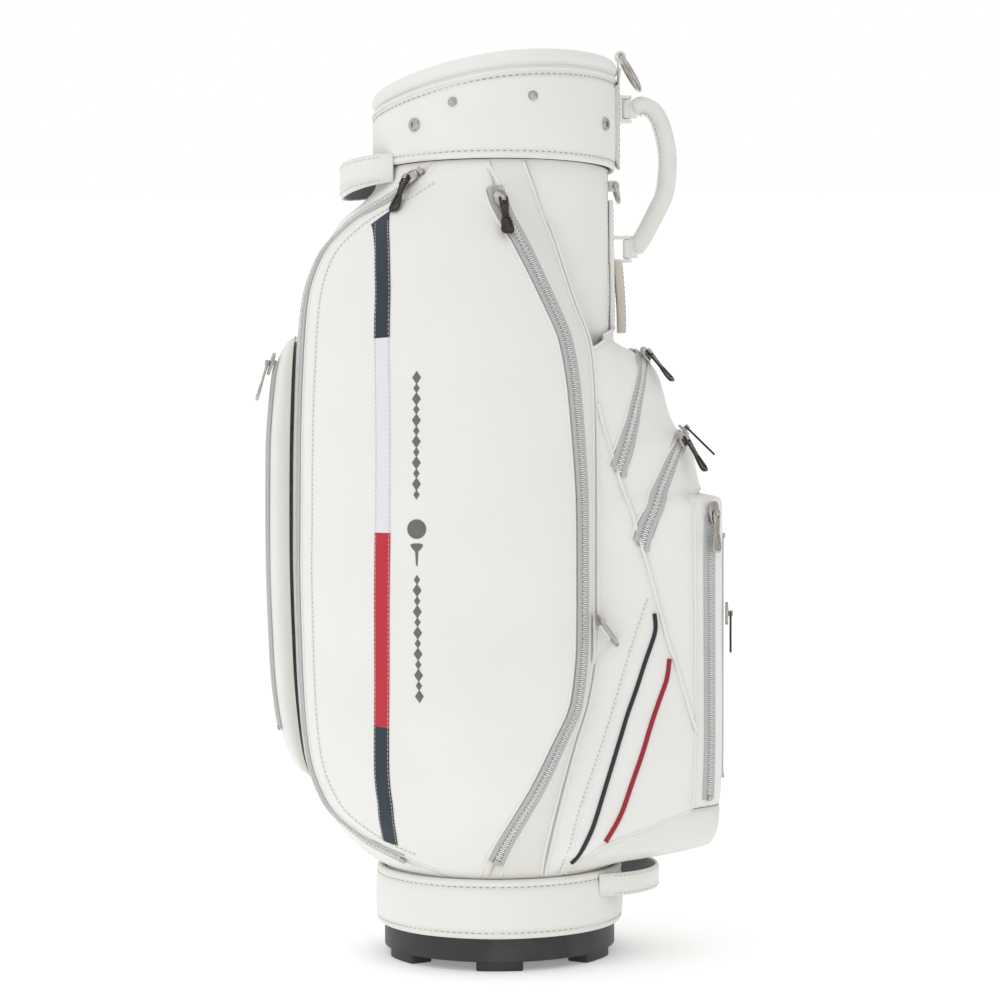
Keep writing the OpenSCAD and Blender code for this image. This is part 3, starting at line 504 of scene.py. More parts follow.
cuff = turned("base_cuff_padded", rounded([
    (cuff_in, cuff_low + 0.6, 0.5), (cuff_out - 3.6, cuff_low, 2), (cuff_out - 1.5, cuff_low + 4),
    (cuff_out - 2.0, cuff_low + 6, 0.6), (cuff_out - 0.6, cuff_low + 13, 5),
    (cuff_out, cuff_low + cuff_run * 0.5, 12), (cuff_out - 0.8, cuff_top - 14, 5),
    (cuff_out - 2.4, cuff_top - 7, 0.6), (cuff_out - 1.4, cuff_top - 3.5),
    (cuff_out - 3.4, cuff_top, 2), (cuff_in, cuff_top - 0.5, 0.5)], 2.5, 4), cuff_wave)
# Painted shade: the cuff's leather is darkened along both stitch lines and its top edge.
shaded_by(cuff, lambda p: max(math.exp(-abs(p.z / mm - cuff_low - 6) / 1.5),
                              math.exp(-abs(p.z / mm - cuff_top + 7) / 1.5),
                              math.exp(-abs(p.z / mm - cuff_top) / 2)))
finished(cuff, white_leather, "bag", ["base_cuff"])


def ring_route(radius, height, count=180):
    """A route round the bag: radius and height may be functions of the bearing."""
    made = []
    for k in range(count + 1):
        t = math.tau * k / count
        r = radius(t) if callable(radius) else radius
        z = height(t) if callable(height) else height
        made.append((Vector((r * math.sin(t), -r * math.cos(t), z)) * mm,
                     Vector((math.sin(t), -math.cos(t), 0))))
    return made


long_stitch = 6.2
stitches("cuff_stitches_low", ring_route(cuff_out - 1.9, cuff_low + 6), "bag", long_stitch,
         grey_thread)
stitches("cuff_stitches_high", ring_route(cuff_out - 2.1, cuff_top - 7), "bag", long_stitch,
         grey_thread)


# Tube: black polypropylene pipe that holds the clubs. Only its inside shows, through the mouth.
tube_plastic = moulded("smooth_tube_plastic", "#202022", "#2a2a2c", grain=2.2)
dressed("body_tube", tube_plastic)
dressed("collar_frame", tube_plastic)


# Divider: a moulded grid padded and covered with brushed fleece, with a sewn lining of woven
# nylon hanging from it down to the floor of the tube.
def woven(name, warp, weft, pitch=1.4, relief=0.25, rough=0.8, sheen=0.2):
    """Woven cloth: threads of two tones crossing at one pitch, in millimetres."""
    made, tree, shader = new_material(name)
    place = add(tree, "TexCoord").outputs["Object"]
    turned_place = add(tree, "Mapping", {"Vector": place, "Rotation": (0.3, 0.5, 0.78)})
    up_threads = add(tree, "TexWave", {"Vector": turned_place.outputs["Vector"],
                                       "Scale": 0.314 / (pitch * mm), "Distortion": 0.4},
                     bands_direction="X")
    across_threads = add(tree, "TexWave", {"Vector": turned_place.outputs["Vector"],
                                           "Scale": 0.314 / (pitch * mm), "Distortion": 0.4},
                         bands_direction="Z")
    cross = add(tree, "Math", {0: up_threads.outputs["Fac"], 1: across_threads.outputs["Fac"]},
                operation="MULTIPLY")
    hue = add(tree, "MixRGB", {"Fac": cross.outputs[0], "Color1": linear(warp),
                               "Color2": linear(weft)})
    tree.links.new(hue.outputs["Color"], shader.inputs["Base Color"])
    shader.inputs["Roughness"].default_value = rough
    shader.inputs["Sheen Weight"].default_value = sheen
    bump = add(tree, "Bump", {"Height": cross.outputs[0], "Distance": relief * mm,
                              "Strength": 0.5})
    tree.links.new(bump.outputs["Normal"], shader.inputs["Normal"])
    return made


lining = woven("woven_nylon_lining", "#3c3d40", "#525357", pitch=2.0)
fleece = woven("brushed_fleece", "#2b2b2d", "#3f3f42", pitch=2.6, relief=0.5, rough=0.95, sheen=0.5)
dressed("divider_sleeves", lining)

cover_r = 110
collar_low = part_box("collar_cover")[0].z / mm
collar_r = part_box("collar_cover")[1].x / mm
rim_low, rim_rise, rim_arch, roll_h, roll_w = collar_low + 73, 33, 9, 18.5, 17.4
roll_r = collar_r + 1 - roll_w / 2
divider_r, bar_w = 103.4, 9
bars_x = divider_r * 0.34
divider_mid = rim_low + rim_rise / 2 + rim_arch - roll_h - 27
tilt = math.atan(rim_rise / (2 * collar_r))


def rim_top(x):
    """The height of the mouth's edge, which climbs towards the ball pocket and arches a little."""
    u = max(-1.0, min(1.0, x / collar_r))
    return rim_low + rim_rise * (1 + u) / 2 + rim_arch * math.cos(math.pi / 2 * u)


def divider_bar(name, start, end, wide=bar_w, high=12):
    """A padded bar between two points of the divider's plane, tilted with the rim."""
    a, b = Vector((*start, 0)), Vector((*end, 0))
    slope = Matrix.Rotation(-tilt, 3, "Y")
    side = slope @ Vector((0, 0, 1)).cross((b - a).normalized())
    lift = slope @ Vector((0, 0, 1))
    frames = []
    for k in range(17):
        s = k / 16
        at_point = Vector((0, 0, divider_mid)) + slope @ a.lerp(b, s)
        frames.append((at_point * mm, side, lift))
    return swept(name, frames, rounded([(-wide / 2, -high / 2), (wide / 2, -high / 2),
                                        (wide / 2, high / 2), (-wide / 2, high / 2)], 4.2, 4))


for k, x in enumerate((-bars_x, bars_x)):
    reach = math.sqrt((divider_r - 3) ** 2 - x ** 2)
    bar = divider_bar(f"divider_bar_{k}", (x, -reach), (x, reach))
    finished(bar, fleece, "bag", ["divider_top"])
spans = ((-divider_r + 3, -bars_x - bar_w / 2 + 1), (-bars_x + bar_w / 2 - 1, bars_x - bar_w / 2 + 1),
         (bars_x + bar_w / 2 - 1, divider_r - 3))
for k, (start, end) in enumerate(spans):
    bar = divider_bar(f"divider_cross_{k}", (start, 0), (end, 0))
    finished(bar, fleece, "bag", ["divider_top"])
slope = math.tan(tilt)
rim_pad = turned("divider_rim_pad", rounded([(divider_r - 6, -6), (divider_r, -6), (divider_r, 6),
                                             (divider_r - 6, 6)], 2.8, 4),
                 lambda t, r, z: (r, z + divider_mid + r * math.sin(t) * slope))
finished(rim_pad, fleece, "bag", ["divider_top"])


# Collar: a foam-padded leather band round the mouth. It is stitched 6 mm above its lower edge,
# and sewn under the rim roll.
def collar_face(share, t):
    """The collar's outer radius and height at a share of its height."""
    top = rim_top(collar_r * math.sin(t)) - roll_h + 3
    z = collar_low + (top - collar_low) * share
    swell = 1.6 * (1 - abs(2 * share - 1) ** 3)
    billow = 0.6 * noise.noise(Vector((math.sin(t) * 2.4, math.cos(t) * 2.4, z / 45 + 7)))
    up = z - collar_low
    groove = -1.1 * math.exp(-((up - 6.5) / 1.2) ** 2)
    lip = -2.2 * max(0, 1 - up / 2.2) ** 2
    under_rim = -1.2 * math.exp(-((top - 9 - z) / 1.3) ** 2)
    return collar_r - 1.2 + swell + billow + groove + lip + under_rim, z


collar_around, collar_up = 180, 46


def collar_point(i, j):
    """One point of the collar's grid."""
    t = math.tau * i / collar_around
    r, z = collar_face(j / collar_up, t)
    return Vector((r * math.sin(t), -r * math.cos(t), z)) * mm


collar = spread("collar_padded", collar_around, collar_up, collar_point, loop=True)


def collar_seam_shade(p):
    """The painted shade by the collar's stitches and its top edge: how close a point is to them, up to
    1.
    """
    t = math.atan2(p.x, -p.y)
    top = rim_top(collar_r * math.sin(t)) - roll_h + 3
    z = p.z / mm
    return max(math.exp(-abs(z - collar_low - 6.5) / 1.6), math.exp(-abs(z - top + 9) / 1.6),
               math.exp(-abs(z - top) / 2.5))


shaded_by(collar, collar_seam_shade)
thickened(collar, 5, white_leather, "bag", ["collar_cover"])
stitches("collar_stitches_low", ring_route(lambda t: collar_face(0.09, t)[0], collar_low + 6.5),
         "bag", long_stitch, grey_thread)
stitches("collar_stitches_high", ring_route(
    lambda t: collar_face(0.88, t)[0] + 0.1,
    lambda t: rim_top(collar_r * math.sin(t)) - roll_h - 6), "bag", long_stitch, grey_thread)


# Rim roll: leather wrapped round a foam cord and stitched down under it, with a thin piped bead
# below. The leather gathers in fine creases on the inside of the bend.
def rim_frames(radius, drop, count=180):
    """Frames round the rim's line at one radius, lowered by drop."""
    made = []
    for k in range(count):
        t = math.tau * k / count
        made.append((Vector((radius * math.sin(t), -radius * math.cos(t),
                             rim_top(radius * math.sin(t)) - drop)) * mm,
                     Vector((math.sin(t), -math.cos(t), 0)), Vector((0, 0, 1))))
    return made


roll_section = []
for k in range(28):
    t = math.tau * k / 28
    x, y = roll_w / 2 * math.cos(t), roll_h / 2 * math.sin(t)
    pinch = 0.9 * math.exp(-((t - math.tau * 0.935) / 0.1) ** 2)
    roll_section.append((x * (1 - pinch * 0.12), y * (1 - pinch * 0.1)))
roll = swept("rim_roll_padded", rim_frames(roll_r, roll_h / 2), roll_section, closed=True)
for v in roll.data.vertices:
    v.co += Vector((v.co.x, v.co.y, 0)).normalized() * 0.35 * mm * noise.noise(v.co * 70)
# Painted shade along the bottom of the roll, where it is stitched down under itself.
shaded_by(roll, lambda p: math.exp(-abs(p.z / mm - rim_top(p.x / mm) + roll_h - 2) / 2.5))
finished(roll, white_leather, "bag", ["rim_roll"])
bead = swept("rim_bead", rim_frames(collar_r - 0.2, roll_h + 1.2), round_section(1.5), closed=True)
finished(bead, smooth_leather, "bag")


# Snap studs for the rain hood: nickel-plated brass, pressed and polished. Each side has two
# socket rings and two ball studs.
def polished(name, bright, dark, rough=0.17, metallic=1.0):
    """Plated metal: the colour wanders a little between the two tones, with fine hairlines."""
    made, tree, shader = new_material(name)
    place = add(tree, "TexCoord").outputs["Object"]
    cloud = add(tree, "TexNoise", {"Vector": place, "Scale": 90.0, "Detail": 2.0})
    hairlines = add(tree, "TexNoise", {"Vector": place, "Scale": 1400.0, "Detail": 2.0})
    hue = add(tree, "MixRGB", {"Fac": cloud.outputs["Fac"], "Color1": linear(bright),
                               "Color2": linear(dark)})
    tree.links.new(hue.outputs["Color"], shader.inputs["Base Color"])
    shader.inputs["Metallic"].default_value = metallic
    finish = add(tree, "MapRange", {"Value": hairlines.outputs["Fac"], "To Min": rough - 0.06,
                                    "To Max": rough + 0.1})
    tree.links.new(finish.outputs[0], shader.inputs["Roughness"])
    return made


nickel = polished("polished_nickel_plate", "#cbc6c0", "#a39d96")
black_nickel = polished("black_nickel_plate", "#544d49", "#332e2b", rough=0.14)
stud_around = 28
# Each stud's bearing, its height above the lowest of them, and its kind.
STUDS = [(-39.2, 0, "socket"), (-19.1, 18.5, "ball"), (17.6, 23.5, "ball"), (62.7, 5, "socket")]
socket_profile = [(0.01, 1.2), (2.3, 1.2), (2.6, 2.6), (3.4, 3.0), (5.4, 2.7), (6.3, 1.4),
                  (6.4, 0), (0.01, 0)]
ball_profile = [(0.01, 4.5), (1.6, 4.2), (2.7, 3.3), (2.9, 2.3), (2.3, 1.5), (3.2, 1.1),
                (4.6, 0.8), (4.8, 0), (0.01, 0)]
stud_low = collar_low + 34
for k, (bearing, lift, kind) in enumerate(STUDS):
    profile = socket_profile if kind == "socket" else ball_profile
    for side in (-1, 1):
        t = math.radians(bearing)
        out = Vector((math.sin(t), side * math.cos(t), 0))
        across = Vector((0, 0, 1)).cross(out)
        centre = out * collar_face(0.5, t)[0] * 0.998 + Vector((0, 0, stud_low + lift))

        def place(i, j):
            a = math.tau * j / stud_around
            r, h = profile[i]
            return (centre + out * h + across * (r * math.cos(a))
                    + Vector((0, 0, r * math.sin(a)))) * mm
        stud = spread(f"snap_{kind}_{k}_{'near' if side < 0 else 'far'}", len(profile) - 1,
                      stud_around, place)
        join_doubles(stud)
        outside_out(stud)
        finished(stud, nickel, "bag", ["snap_studs"])


# The bag's own lines, as the pattern cutter has them: height share up the pockets, bearing from
# the near side, and share of the pocket's reach. Sizes are in millimetres, bearings in degrees.
pocket_run = collar_low - cuff_top
spine_reach, side_reach, front_reach = 93, 48, 109
panel_t, gap = 3.5, 0.3
SPINE = [[0, -90, 0.04], [0.02, -90, 0.26], [0.05, -90, 0.47], [0.08, -90, 0.6], [0.13, -90, 0.73],
         [0.2, -90, 0.84], [0.3, -90, 0.9], [0.5, -90, 0.925], [0.75, -90, 0.88], [0.8, -90, 0.83],
         [0.84, -90, 0.75], [0.87, -90, 0.67], [0.9, -90, 0.56], [0.93, -90, 0.43],
         [0.955, -90, 0.2], [0.975, -90, 0.07], [1, -90, 0.03]]
LEFT_ZIP = [[0, -26, 0.03], [0.02, -42, 0.14], [0.05, -60, 0.4], [0.1, -69, 0.72],
            [0.17, -71, 0.88], [0.31, -69.5, 0.97], [0.45, -68.5, 1], [0.6, -68, 0.99],
            [0.74, -68, 0.95], [0.81, -69, 0.89], [0.87, -70, 0.73], [0.92, -63, 0.45],
            [0.96, -46, 0.14], [0.98, -38, 0.06], [1, -31, 0.03]]
RIGHT_ZIP = [[0, -5, 0.06], [0.05, 2.5, 0.23], [0.08, 7.5, 0.4], [0.13, 14.5, 0.71],
             [0.19, 21.5, 0.88], [0.25, 28, 0.95], [0.33, 29.7, 1], [0.5, 30, 1], [0.66, 27.5, 1],
             [0.74, 24.5, 0.98], [0.8, 18.5, 0.92], [0.88, 9.5, 0.67], [0.95, 0.5, 0.21],
             [1, -2, 0.08]]
WELT = [[0, 21, 0.04], [0.05, 23.8, 0.15], [0.11, 26.6, 0.35], [0.19, 30.7, 0.6], [0.25, 35, 0.73],
        [0.32, 37.5, 0.79], [0.5, 38, 0.79], [0.66, 38.5, 0.77], [0.735, 38, 0.69], [0.8, 33, 0.5],
        [0.88, 27.5, 0.23], [0.94, 21.5, 0.08], [1, 14, 0.03]]
FRONT = [[0, 0.02, 0.02, 0.02], [0.02, 0.37, 0.64, 0.64], [0.035, 0.72, 0.9, 0.88],
         [0.06, 0.8, 0.96, 0.945], [0.1, 0.835, 0.98, 0.963], [0.2, 0.86, 0.99, 0.97],
         [0.45, 0.86, 1, 0.98], [0.515, 0.86, 1.01, 0.99], [0.528, 0.8, 0.99, 0.97],
         [0.536, 0.75, 0.825, 0.81], [0.56, 0.715, 0.78, 0.76], [0.6, 0.66, 0.735, 0.725],
         [0.625, 0.55, 0.605, 0.59], [0.65, 0.46, 0.53, 0.52], [0.7, 0.385, 0.45, 0.43],
         [0.73, 0.275, 0.33, 0.31], [0.745, 0.11, 0.13, 0.13], [0.76, 0.01, 0.01, 0.01],
         [1, 0.01, 0.01, 0.01]]
FRONT_EDGE, FRONT_CORNER = 67, 77
CROSSING = [[0.196, 67], [0.232, 64.6], [0.282, 61.6], [0.331, 58.2], [0.374, 56], [0.416, 53.8],
            [0.471, 50.5], [0.534, 47.3], [0.569, 45.3], [0.624, 42.1], [0.672, 38.5]]
UPPER_LINE = [[0.566, 45.5], [0.61, 50], [0.64, 55], [0.667, 59.2], [0.696, 64.5], [0.72, 71],
              [0.733, 79], [0.738, 90]]
MIDDLE_LINE = [[0.464, 50.8], [0.499, 53.3], [0.52, 55.8], [0.555, 61], [0.59, 66.7], [0.607, 72],
               [0.617, 80], [0.62, 90]]
LOWER_LINE = [[0, 33], [0.023, 36.3], [0.041, 40.3], [0.064, 51.5], [0.088, 66.5]]
TOP_LINE = [[0.735, 38.2], [0.748, 50], [0.762, 68], [0.775, 90]]
TAPE_LINE = [[0.045, -46.6], [0.075, -42.6], [0.115, -39.3], [0.32, -34.6], [0.6, -33.5],
             [0.8, -35.1], [0.87, -39], [0.93, -47.5]]


def through(rows, h, k=1):
    """A smooth curve without overshoot through one column of the rows."""
    h = max(rows[0][0], min(rows[-1][0], h))
    i = 0
    while i < len(rows) - 2 and h >= rows[i + 1][0]:
        i += 1

    def rise(m):
        return (rows[m + 1][k] - rows[m][k]) / (rows[m + 1][0] - rows[m][0])

    def lean(m):
        if m == 0 or m == len(rows) - 1:
            return rise(min(m, len(rows) - 2))
        a, b = rise(m - 1), rise(m)
        return 0 if a * b <= 0 else 2 * a * b / (a + b)
    w = rows[i + 1][0] - rows[i][0]
    s = (h - rows[i][0]) / w
    return (rows[i][k] * (2 * s ** 3 - 3 * s ** 2 + 1) + lean(i) * w * (s ** 3 - 2 * s ** 2 + s)
            + rows[i + 1][k] * (3 * s ** 2 - 2 * s ** 3) + lean(i + 1) * w * (s ** 3 - s ** 2))


station_rows = {}


def skin(a, h):
    """The radius of the pockets' outer face at a bearing and a height share."""
    key = round(h, 7)
    if key not in station_rows:
        station_rows[key] = [
            (-90, spine_reach * through(SPINE, h, 2)),
            (through(LEFT_ZIP, h), spine_reach * through(LEFT_ZIP, h, 2)),
            (through(RIGHT_ZIP, h), side_reach * through(RIGHT_ZIP, h, 2)),
            (through(WELT, h), side_reach * through(WELT, h, 2)),
            (FRONT_EDGE, front_reach * through(FRONT, h, 1)),
            (FRONT_CORNER, front_reach * through(FRONT, h, 2)),
            (90, front_reach * through(FRONT, h, 3))]
    st = station_rows[key]
    a = 180 - a if a > 90 else -180 - a if a < -90 else a
    i = 0
    while i < len(st) - 2 and a > st[i + 1][0]:
        i += 1
    reach = st[i][1] + (st[i + 1][1] - st[i][1]) * (a - st[i][0]) / (st[i + 1][0] - st[i][0])
    return cover_r + max(4.6, reach)


def at(a, h, r):
    """The point at a bearing, a height share and a radius."""
    t = math.radians(a)
    return Vector((r * math.sin(t), -r * math.cos(t), cuff_top + pocket_run * h)) * mm


def outward(a, h, face=skin):
    """The direction square to a face at a bearing and a height share."""
    da, dh = 0.5, 0.002
    u = at(a + da, h, face(a + da, h)) - at(a - da, h, face(a - da, h))
    v = at(a, h + dh, face(a, h + dh)) - at(a, h - dh, face(a, h - dh))
    return u.cross(v).normalized()


def spot(a, h, up=0.0, face=skin):
    """The point on a face, or some millimetres above it."""
    return at(a, h, face(a, h)) + outward(a, h, face) * (up * mm)


# Panels: each is a leather sheet on 3 mm foam, cut to its lines, turned in and sewn to its
# neighbour. It swells between the seams and drops into them, with slow slack waves.
def heights(*keys, pitch=0.011):
    """Height shares from key to key, at most pitch apart."""
    made = [keys[0]]
    for a, b in zip(keys, keys[1:]):
        count = max(1, math.ceil((b - a) / pitch))
        made += [a + (b - a) * (k + 1) / count for k in range(count)]
    return made


def eased(u):
    """Moves shares towards both ends, so that a panel has more points near its seams."""
    return u + (0.5 - 0.5 * math.cos(math.pi * u) - u) * 0.85


def panel(name, left, right, hs, across, material, both=False, face=skin, seed=0.0, dip=2.2,
          swell=0.0, wall=3.0, ends=(True, True), stands_for=()):
    """A padded panel between two edge lines, each a function from height share to bearing."""
    marks = {}

    def place(i, j):
        h = hs[j]
        a0, a1 = left(h), right(h)
        a = a0 + (a1 - a0) * eased(i / across)
        r = face(a, h)
        to_left = (a - a0) * r * math.pi / 180
        to_right = 1e3 if a1 > 89.9 and both else (a1 - a) * r * math.pi / 180
        to_low = (h - hs[0]) * pocket_run if ends[0] else 1e3
        to_high = (hs[-1] - h) * pocket_run if ends[1] else 1e3
        edge = max(math.exp(-d / 3.2) for d in (to_left, to_right, to_low, to_high))
        inside = min(to_left, to_right, to_low, to_high, 60) / 60
        slack = noise.noise(Vector((a * 0.035, h * 4.2, seed))) * 1.5 * inside
        slack += noise.noise(Vector((a * 0.13, h * 13, seed + 5))) * 0.35 * min(1, inside * 2.5)
        p = at(a, h, r + swell * math.sin(math.pi * min(1, inside / 0.9) / 2) + slack)
        p -= outward(a, h, face) * (dip * edge * mm)
        marks[tuple(round(c, 6) for c in p)] = edge
        return p
    made = spread(name, across, len(hs) - 1, place)
    if both:
        mirrored(made)
    # Painted shade: the leather is darkened where it dips into its seams.
    shaded_by(made, lambda p: marks.get(
        (round(p.x, 6), round(-abs(p.y), 6), round(p.z, 6)),
        marks.get(tuple(round(c, 6) for c in p), 0.0)))
    join_doubles(made, 0.05 * mm)
    thickened(made, wall, material, "bag", stands_for)
    return made


def line_of(rows):
    """One of the cutter's lines, as a function from height share to bearing."""
    return lambda h: through(rows, h)


left_zip, right_zip, welt = line_of(LEFT_ZIP), line_of(RIGHT_ZIP), line_of(WELT)
crossing, upper_line, middle_line = line_of(CROSSING), line_of(UPPER_LINE), line_of(MIDDLE_LINE)
lower_line, top_line, tape_line = line_of(LOWER_LINE), line_of(TOP_LINE), line_of(TAPE_LINE)


def flipped(piece):
    """Turns the near side's piece into the far side's."""
    piece.data.transform(Matrix.Scale(-1, 4, (0, 1, 0)))
    piece.data.flip_normals()
    return piece


# Tube cover: leather on foam round the tube, which shows above the pockets on the ball pocket
# side.
cover_around, cover_up, cover_low, cover_high = 120, 40, 65, collar_low + 6


def cover_point(i, j):
    """One point of the cover's grid: its sides bulge a little, unevenly."""
    t = math.tau * i / cover_around
    z = cover_low + (cover_high - cover_low) * j / cover_up
    bulge = 0.4 * noise.noise(Vector((math.sin(t) * 3, math.cos(t) * 3, z / 60)))
    return Vector(((cover_r + bulge) * math.sin(t), -cover_r * math.cos(t), z)) * mm


cover = spread("tube_cover_padded", cover_around, cover_up, cover_point, loop=True)
# Painted shade along the cover's top, under the collar.
shaded_by(cover, lambda p: math.exp(-abs(p.z / mm - collar_low) / 6))
thickened(cover, 3, white_leather, "bag", ["body_cover"])

FULL = heights(0.0008, 0.03, 0.06, 1 - 0.0008, pitch=0.008)
panel("apparel_panel_near_padded", left_zip, right_zip, FULL, 56, white_leather, seed=1,
      swell=0.8, stands_for=["apparel_panel_near"])
far_panel = panel("apparel_panel_far_padded", left_zip, right_zip, FULL, 56, white_leather, seed=3,
                  swell=0.8, stands_for=["apparel_panel_far"])
flipped(far_panel)
panel("gusset_padded_near", right_zip, welt, FULL, 14, shaded_leather, seed=6, dip=1.4,
      stands_for=["pocket_gussets"])
flipped(panel("gusset_padded_far", right_zip, welt, FULL, 14, shaded_leather, seed=6, dip=1.4,
              stands_for=["pocket_gussets"]))
panel("spine_panel_padded", lambda h: -180 - left_zip(h), left_zip, FULL, 60, white_leather,
      seed=8, swell=0.5, stands_for=["spine_panel"])


def side_edge(h):
    """The side panel's front edge: the base line, the ball pocket's edge, the crossing."""
    return lower_line(h) if h < 0.088 else FRONT_EDGE if h < 0.196 else crossing(h)


SIDE = heights(0.0008, 0.03, 0.088, 0.196, 0.665, pitch=0.008)
panel("side_panel_near_padded", welt, side_edge, SIDE, 26, white_leather, seed=11, dip=1.6,
      stands_for=["side_panel_near"])
flipped(panel("side_panel_far_padded", welt, side_edge, SIDE, 26, white_leather, seed=11, dip=1.6,
              stands_for=["side_panel_far"]))

panel("upper_gusset_padded", lambda h: crossing(h) if h < 0.672 else welt(h) if h < 0.735
      else top_line(h), lambda h: upper_line(h) if h < 0.738 else 90,
      heights(0.568, 0.655, 0.7, 0.738, 0.7745, pitch=0.004), 34, white_leather, both=True,
      seed=14, stands_for=["upper_gusset"])
panel("upper_pocket_padded", lambda h: crossing(h) if h < 0.566 else upper_line(h),
      lambda h: middle_line(h) if h < 0.62 else 90,
      heights(0.466, 0.566, 0.615, 0.66, 0.7, 0.7375, pitch=0.004), 34, white_leather, both=True,
      seed=17, swell=1.0, stands_for=["upper_pocket"])
panel("middle_pocket_padded", lambda h: crossing(h) if h < 0.464 else middle_line(h),
      lambda h: FRONT_EDGE if h < 0.531 else FRONT_EDGE + (h - 0.531) / 0.01 * 23 if h < 0.541
      else 90, heights(0.2, 0.464, 0.531, 0.541, 0.6, 0.6195, pitch=0.004), 30, white_leather,
      both=True, seed=20, swell=0.8, stands_for=["middle_pocket"])
panel("ball_pocket_padded", lambda h: FRONT_EDGE, lambda h: 90,
      heights(0.0885, 0.12, 0.5, 0.536, pitch=0.005), 30, white_leather, both=True, seed=23,
      swell=0.8, stands_for=["ball_pocket"])
panel("base_panel_padded", lower_line, lambda h: 90,
      heights(0.0008, 0.088, pitch=0.003), 40, shaded_leather, both=True, seed=26, dip=1.6,
      stands_for=["base_panel"])

# Spine pocket: a narrow pocket laid on the spine panel, with its zip down the near edge.
POCKET_EDGE = 14
POCKET_RUN = [[0.13, 0], [0.145, 0.45], [0.17, 0.68], [0.22, 0.9], [0.3, 0.97], [0.5, 1],
              [0.6, 1], [0.67, 0.9], [0.71, 0.78], [0.735, 0.55], [0.752, 0.3], [0.762, 0]]
spine_pocket_d = 22.5


def pocket_skin(a, h):
    """The radius of the spine pocket's back, under its leather."""
    u = min(1, abs(a + 90) / POCKET_EDGE)
    stand = (spine_pocket_d - gap - 1) * through(POCKET_RUN, h) * math.sqrt(1 - u ** 4)
    return skin(a, h) + gap + 1 + stand


def pocket_face(a, h):
    """The radius of the spine pocket's outer face."""
    return pocket_skin(a, h) + panel_t


panel("spine_pocket_padded", lambda h: -90 - POCKET_EDGE, lambda h: -90 + POCKET_EDGE,
      heights(0.131, 0.17, 0.6, 0.761, pitch=0.006), 40, white_leather, face=pocket_face, seed=29,
      stands_for=["spine_pocket"])


# Seams. A route is a run of (place, outwards) laid on a face, along points of (height share,
# bearing).
def laid(points, up=0.0, face=skin, pitch=5.0):
    """A route along points of (height share, bearing), in steps of no more than the pitch."""
    made = []
    for (h0, a0), (h1, a1) in zip(points, points[1:]):
        far = (spot(a1, h1, 0, face) - spot(a0, h0, 0, face)).length / mm
        count = max(1, math.ceil(far / pitch))
        for k in range(count):
            s = k / count
            h, a = h0 + (h1 - h0) * s, a0 + (a1 - a0) * s
            made.append((spot(a, h, up, face), outward(a, h, face)))
    h, a = points[-1]
    made.append((spot(a, h, up, face), outward(a, h, face)))
    return made


def laid_on(points, up=0.0, pitch=5.0, shift=0.0):
    """A route that lies on the padded leather itself, moved sideways by some millimetres."""
    return [(settled(p, n, up), n) for p, _, n in laid_frames(laid(points, 0, skin, pitch), shift)]


def line_points(line, low, high, count=60, move=0.0):
    """Points of (height share, bearing) up one line, moved over by some millimetres."""
    made = []
    for k in range(count + 1):
        h = low + (high - low) * k / count
        a = line(h)
        made.append((h, a + math.degrees(move / skin(a, h))))
    return made


def eased_route(route, rounds=2):
    """A route with its kinks taken out."""
    for _ in range(rounds):
        route = [route[0]] + [
            ((a[0] + b[0] * 2 + c[0]) / 4, (a[1] + b[1] * 2 + c[1]).normalized())
            for a, b, c in zip(route, route[1:], route[2:])] + [route[-1]]
    return route


def surface_of(pieces):
    """One tree of the faces of several pieces, to lay trim on."""
    points, faces = [], []
    for piece in pieces:
        base = len(points)
        points += [v.co.copy() for v in piece.data.vertices]
        faces += [[base + k for k in f.vertices] for f in piece.data.polygons]
    return BVHTree.FromPolygons(points, faces)


panels = surface_of([o for o in bpy.data.objects if o.type == "MESH" and o.get("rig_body") == "bag"
                     and o.name.split(".")[0].endswith(("_padded", "_padded_near"))])


def settled(p, out, lift=0.0, sink=6.0):
    """The place where a point above or below the leather comes to lie on it."""
    hit = panels.ray_cast(p + out * (9 * mm), -out, (9 + sink) * mm)[0]
    return (hit if hit else p) + out * (lift * mm)


def laid_frames(route, shift=0.0, lift=0.0):
    """Frames (place, across, outwards) along a route, moved sideways and outwards."""
    made = []
    for k, (p, out) in enumerate(route):
        way = route[min(k + 1, len(route) - 1)][0] - route[max(k - 1, 0)][0]
        side = way.cross(out).normalized()
        made.append((p + side * (shift * mm) + out * (lift * mm), side, out))
    return made


def piped(name, route, radius, material, lift=0.0):
    """A piping on both sides of the bag: leather wrapped round a cord, along a route."""
    made = swept(name, laid_frames(route, 0, lift), round_section(radius, 10))
    mirrored(made)
    finished(made, material, "bag")


def creased(name, route):
    """A sewn edge on both sides: a low fold of leather with a row of stitches beside it."""
    made = swept(name, laid_frames(route), rounded([(-1.6, -1.5), (1.6, -1.5), (1.2, 0.35),
                                                    (-1.2, 0.5)], 0.5, 2))
    mirrored(made)
    finished(made, smooth_leather, "bag")
    for side in (1, -1):
        flip = Vector((1, side, 1))
        marks = [((p * flip), (n * flip)) for p, _, n in laid_frames(route, 3.0, 0.2)]
        stitches(name + ("_stitches" if side > 0 else "_stitches_far"), marks, gap_mm=4.6)


